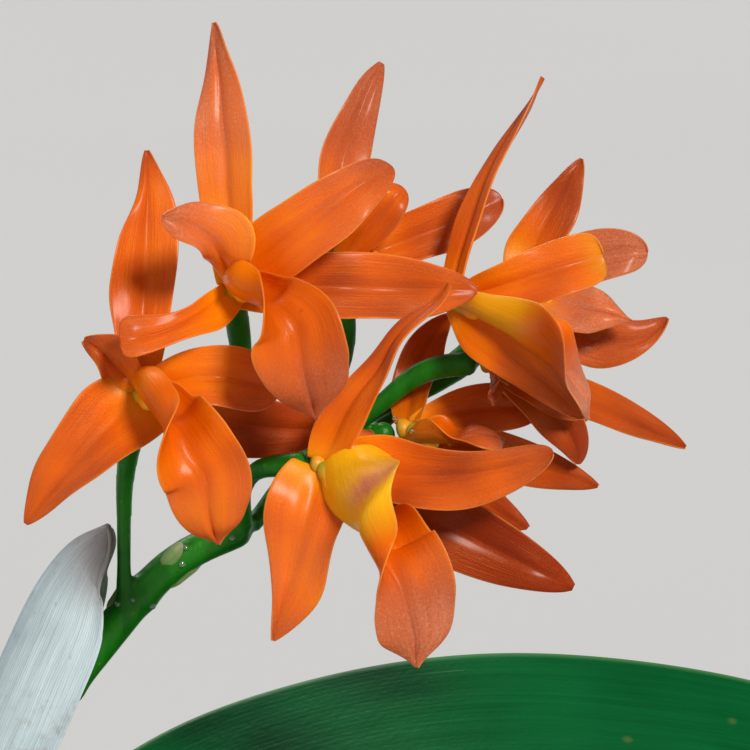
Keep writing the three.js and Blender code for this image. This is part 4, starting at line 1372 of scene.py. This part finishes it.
def makeLeaf(name, row, seed):
    cane = canes[row["cane"]]
    top = Vector(cane["top"])
    out = Vector(row["via"]) - top
    out = Vector((out.x, out.y, 0)).normalized()
    lift = Vector((0, 0, row.get("lift", leafForm["lift"])))
    base = top + out * (cane["radii"][-1] - leafForm["rootIn"]) + lift
    way = arc(base, row["via"], row["tip"])
    form = bladeForm(way, row, outlines["leaf"], crease=leafForm["crease"], tipWide=0.02)

    def place(t, v):
        s = 1 - (1 - t) ** 1.7
        point, up, run = form(s, v)
        lift = 0.9 * abs(v) ** 2 * ripple(s, v, 1.6, 0.31 * seed, 0.25) * smooth(s, 0.1, 0.4)
        lift += 0.5 * wobble(point, 26, seed)
        lift -= 0.5 * hump(v, 0.045) * smooth(s, 0.02, 0.2) * (1 - smooth(s, 0.85, 1))
        return point + up * lift, {"along": s, "across": v}

    bm = bmesh.new()
    marks = layers(bm, ("along", "across"))
    lay(bm, *row.get("grid", leafForm["grid"]), place, marks)
    weigh(bm, marks, lambda s, v: (1 - abs(v) ** 3) * (1 - 0.8 * smooth(s, 0.7, 1)))
    piece = settle(name + "_blade", bm, toWorld, [leafFinish])
    thicken(piece, leafForm["thick"], leafForm["thinEdge"])
    keep(piece, name)


for seed, (name, row) in enumerate(leaves.items()):
    makeLeaf(name, row, seed)
print("leaves made")

# Rhizome and roots
rhizome = {
    "line": [
        (42, 24, 94.5), (26, 15, 96), (9, 5, 96.5), (-8, -4, 96.5), (-25, -12, 96.5), (-39, -18, 96),
    ],
    "radius": 4.2,
    "roots": [
        [(-34, -16, 96), (-44, -20, 98.5), (-50, -10, 95), (-48, -2, 86)],
        [(-30, -14, 95), (-32, -26, 97), (-27, -35, 96), (-18, -41, 86)],
        [(-20, -10, 95), (-14, -22, 97), (-2, -30, 96), (8, -38, 86)],
        [(-14, -7, 95), (-20, 8, 97), (-32, 18, 96), (-38, 28, 86)],
        [(0, 0, 95), (6, -12, 97), (20, -20, 96), (30, -26, 86)],
        [(4, 3, 95), (0, 18, 97), (-10, 32, 96), (-14, 42, 86)],
        [(18, 10, 95), (12, 24, 97), (15, 34, 95), (20, 41, 86)],
        [(32, 18, 95), (38, 6, 97), (43, -6, 95), (42, -17, 86)],
    ],
    "rootRadius": (1.7, 1.5, 1.4, 1.2), "bands": 17,
}


def rhizomeSkin():
    skin = Finish("rhizome_skin", Specular_IOR_Level=0.3)
    spot = skin.place()
    s, east, north = skin.mark("along"), skin.mark("east"), skin.mark("north")
    strokes = skin.noise(skin.vector(east * 3, north * 3, s * 22), 1, 4, 0.65)
    bands = skin.wave(s * rhizome["bands"]) ** 6
    patches = skin.noise(spot, 0.008, 4)
    body = skin.ramp(
        strokes * 0.5 + patches * 0.5, (0.3, "#5b4a2c"), (0.55, "#7d7440"), (0.8, "#a39a66")
    )
    body = skin.mix(bands * 0.7, body, "#463420")
    relief = skin.bump(strokes + bands * -0.5, 0.0005)
    return skin.use(body, skin.step(strokes, 0.2, 0.8, (0.6, 0.85)), relief)


def makeRhizome():
    line = Line(spline(rhizome["line"]), 120)
    size = rhizome["radius"]

    def radius(t, turn):
        scale = 0.25 * (1 - (t * rhizome["bands"]) % 1)
        ends = blend(0.75, 1, smooth(t, 0, 0.14)) * blend(1, 0.5, smooth(t, 0.86, 1))
        lumps = 0.25 * wobble((math.cos(turn) * 5, math.sin(turn) * 5, t * 90), 5, 2)
        return (size - 0.2 + scale + lumps) * ends

    bm = bmesh.new()
    marks = layers(bm, ("along", "east", "north"))
    tube(bm, line, radius, 170, 36, marks, ends=(1, 1))
    keep(settle("rhizome", bm, toWorld, [rhizomeSkin()]), "rhizome_and_roots")


def rootSkin():
    # grey-white spongy skin with greener patches
    skin = Finish("root_velamen", Specular_IOR_Level=0.25)
    spot = skin.place()
    s, east, north = skin.mark("along"), skin.mark("east"), skin.mark("north")
    strokes = skin.noise(skin.vector(east * 2.5, north * 2.5, s * 30), 1, 4, 0.6)
    patches = skin.noise(spot, 0.006, 4)
    body = skin.ramp(
        strokes * 0.5 + patches * 0.5, (0.3, "#8f8c78"), (0.55, "#b9b7a6"), (0.8, "#d6d4c8")
    )
    body = skin.mix(skin.step(patches, 0.55, 0.7) * 0.5, body, "#7f8f5a")
    relief = skin.bump(strokes, 0.0002)
    return skin.use(body, skin.step(patches, 0.2, 0.8, (0.7, 0.9)), relief)


def makeRoots():
    bm = bmesh.new()
    marks = layers(bm, ("along", "east", "north"))
    for number, points in enumerate(rhizome["roots"]):
        line = Line(spline(points), 60)

        def radius(t, turn):
            lumps = wobble((math.cos(turn) * 2, math.sin(turn) * 2, t * 50), 4, number)
            return along(rhizome["rootRadius"], t) * (1 + 0.12 * lumps)

        tube(bm, line, radius, 64, 14, marks, ends=(0.5, 1))
    keep(settle("roots", bm, toWorld, [rootSkin()]), "rhizome_and_roots", replace=False)


makeRhizome()
makeRoots()
print("rhizome and roots made")

# Pot and bark
pot = {
    "height": 106, "rim": 63, "rimBand": 17, "lip": 3.2, "foot": 43, "wall": 6, "floor": 8, "round": 1.6,
    "steps": 128, "holes": {"count": 5, "radius": 5, "ring": 25},
}
bark = {
    "top": 95, "chips": 190, "long": (9, 21), "broad": (6, 13), "thick": (2.5, 5.5), "hollow": 9,
    "gap": 0.35, "bedBelow": 4, "sunk": 2.6, "uneven": (-0.6, 2.2), "tilt": 0.4, "rough": 0.09,
    "clear": {"deep": 3.2, "from": 4, "to": 9},  # the chips lie deeper close to the rhizome
}
potSlope = (pot["rim"] - pot["lip"] - pot["foot"]) / pot["height"]


def claySkin():
    # fired clay: grainy, blotched, with pale lime bloom, a damp foot and traces of algae
    skin = Finish("terracotta", Specular_IOR_Level=0.25)
    spot = skin.place()
    height = skin.node("ShaderNodeSeparateXYZ", {}, {0: spot}, "Z")
    grain = skin.noise(spot, 0.0009, 4, 0.7)
    clouds = skin.noise(spot, 0.022, 5, 0.6)
    runs = skin.noise(skin.stretched(spot, Scale=(1, 1, 0.25)), 0.009, 4)
    body = skin.ramp(clouds * 0.7 + grain * 0.3, (0.3, "#9a4f31"), (0.55, "#b8633d"), (0.8, "#cc7b52"))
    lime = skin.step(clouds * 0.5 + runs * 0.6 + grain * 0.15, 0.58, 0.82)
    lime = lime * (skin.step(height, 0.05, 0.1) * 0.6 + 0.3)
    body = skin.mix(lime * 0.8, body, "#d9c7b4")
    algae = skin.step(height + runs * 0.03, 0.035, 0.012)
    body = skin.mix(algae * 0.45, body, "#5c5a34")
    pits = skin.step(skin.cells(spot, 0.0035), 0.14, 0.03)
    body = skin.mix(pits * 0.4, body, "#6e3a24")
    relief = skin.bump(grain + pits * -0.6 + lime * 0.4, 0.0004)
    return skin.use(body, skin.step(lime + grain * 0.4, 0.1, 0.9, (0.72, 0.95)), relief)


def potProfile():
    # from the middle of the foot, up the outside, over the rim and down to the middle of the floor
    height, rim, lip, foot, wall, base = (pot[k] for k in ("height", "rim", "lip", "foot", "wall", "floor"))
    band, r = pot["rimBand"], pot["round"]

    def outer(z):
        return foot + potSlope * z

    rise = [r + (height - band - 2 * r) * i / 22 for i in range(23)]
    profile = [(0, 0), (foot - r * 2, 0), (foot - r, 0.3), (foot - 0.3, r * 0.7)]
    profile += [(outer(z) + 0.07 * math.sin(z * 1.1), z) for z in rise]
    low = height - band
    profile += [(outer(low), low - 0.3), (outer(low) + lip * 0.6, low + 0.2), (outer(low) + lip, low + 1.2)]
    side = [low + 2.5 + (band - 5.5) * i / 6 for i in range(7)]
    profile += [(blend(outer(low) + lip, rim, (z - low) / band) + 0.1 * math.sin(z * 1.4), z) for z in side]
    profile += [(rim, height - r), (rim - 0.5, height - 0.5), (rim - r, height), (rim - wall - r, height)]
    profile += [(rim - wall - lip + 0.6, height - 0.6), (rim - wall - lip, height - r * 2)]
    inner = [height - 8 - (height - 8 - base - 2) * i / 12 for i in range(13)]
    profile += [(foot - wall + potSlope * z, z) for z in inner]
    return profile + [(foot - wall + potSlope * base - 2, base), (0, base)]


def makePot():
    bm = bmesh.new()
    turnRound(bm, potProfile(), pot["steps"])
    for vert in bm.verts:
        far = Vector((vert.co.x, vert.co.y, 0))
        if far.length > 20:
            vert.co += far.normalized() * 0.15 * wobble(vert.co, 24, 5)
    bmesh.ops.recalc_face_normals(bm, faces=bm.faces)
    for face in bm.faces:
        face.smooth = True
    piece = settle("clay_pot", bm, toWorld, [claySkin()])
    holes = pot["holes"]
    bm = bmesh.new()
    for i in range(holes["count"]):
        turn = 2 * math.pi * (i + 0.5) / holes["count"]
        at = Matrix.Translation((holes["ring"] * math.cos(turn), holes["ring"] * math.sin(turn), 4))
        sizes = {"radius1": holes["radius"], "radius2": holes["radius"], "depth": 16}
        bmesh.ops.create_cone(bm, cap_ends=True, segments=32, matrix=at, **sizes)
    drills = settle("drills", bm, toWorld, [])
    modify(piece, "BOOLEAN", object=drills, operation="DIFFERENCE", solver="EXACT")
    bake(piece)
    bpy.data.objects.remove(drills)
    keep(piece, "pot")


def barkSkin():
    # broken fir bark: layered grain, dark wet hollows and paler split faces
    skin = Finish("bark_chips", Specular_IOR_Level=0.2)
    spot = skin.place()
    chip = skin.mark("chip")
    sheets = skin.noise(skin.stretched(spot, Scale=(0.6, 1, 3)), 0.004, 4, 0.65)
    grain = skin.noise(spot, 0.0011, 4, 0.7)
    body = skin.ramp(
        sheets * 0.5 + grain * 0.3 + chip * 0.25, (0.25, "#2e1d13"), (0.5, "#5b3b26"), (0.8, "#8c6240")
    )
    body = skin.mix(skin.step(chip, 0.8, 1.0) * 0.4, body, "#a07d58")
    body = skin.mix(skin.step(skin.noise(spot, 0.012, 3), 0.62, 0.75) * 0.35, body, "#7d7f5c")
    relief = skin.bump(sheets + grain * 0.5, 0.0009)
    return skin.use(body, skin.step(grain, 0.2, 0.8, (0.75, 0.95)), relief)


def barkInner(z):
    # how far out the bark reaches at a height in the pot
    return pot["foot"] - pot["wall"] + potSlope * z - bark["gap"]


def barkBed(bm):
    low, top = pot["floor"] + bark["gap"], bark["top"] - bark["bedBelow"]
    profile = [(0, low), (barkInner(low) - 1, low)]
    profile += [(barkInner(z) - 0.6, z) for z in (low + 2, 30, 50, 70, top)]
    shares = (0.96, 0.9, 0.82, 0.74, 0.66, 0.58, 0.5, 0.42, 0.34, 0.26, 0.18, 0.1)
    profile += [(barkInner(top) * share, top + 0.4) for share in shares]
    turnRound(bm, profile + [(0, top + 0.4)], 72)
    for vert in bm.verts:
        if vert.co.z > top:
            vert.co.z += 1.6 * wobble(vert.co, 5, 9)
    bmesh.ops.recalc_face_normals(bm, faces=bm.faces)


def barkChip(bm, chip, line, i):
    # one chip of its own size, place, lie and tone
    size = [random.uniform(*bark[k]) for k in ("long", "broad", "thick")]
    far = (barkInner(bark["top"]) - bark["hollow"]) * math.sqrt((i + 0.5) / bark["chips"])
    turn = i * math.pi * (3 - math.sqrt(5))
    height = bark["top"] - bark["sunk"] + random.uniform(*bark["uneven"])
    at = Vector((far * math.cos(turn), far * math.sin(turn), height))
    near = min((at - p).xy.length for p in line.points)
    clear = bark["clear"]
    at.z -= clear["deep"] * (1 - smooth(near, clear["from"], clear["to"]))
    verts = bmesh.ops.create_icosphere(bm, subdivisions=2, radius=0.62)["verts"]
    tone = random.random()
    turned = Matrix.Rotation(random.uniform(0, 2 * math.pi), 4, "Z")
    for axis in ("X", "Y"):
        turned = turned @ Matrix.Rotation(random.uniform(-bark["tilt"], bark["tilt"]), 4, axis)
    for vert in verts:
        p = Vector(math.copysign(0.5 * abs(2 * c) ** 0.45, c) for c in vert.co)
        p.x *= size[0] * (1 - 0.5 * abs(p.y) * random.random())
        p.y *= size[1] * (1 - 0.4 * abs(vert.co.x))
        p.z *= size[2]
        p += Vector(random.uniform(-1, 1) for k in range(3)) * bark["rough"] * size[2]
        p.z += 0.8 * wobble(p + at, 5, i)
        vert.co = at + turned @ p
        vert[chip] = tone


def makeBark():
    bm = bmesh.new()
    marks = layers(bm, ("chip",))
    barkBed(bm)
    line = Line(spline(rhizome["line"]), 40)
    for i in range(bark["chips"]):
        barkChip(bm, marks["chip"], line, i)
    keep(settle("bark_pieces", bm, toWorld, [barkSkin()]), "bark_mix")


makePot()
makeBark()
print("pot and bark made")
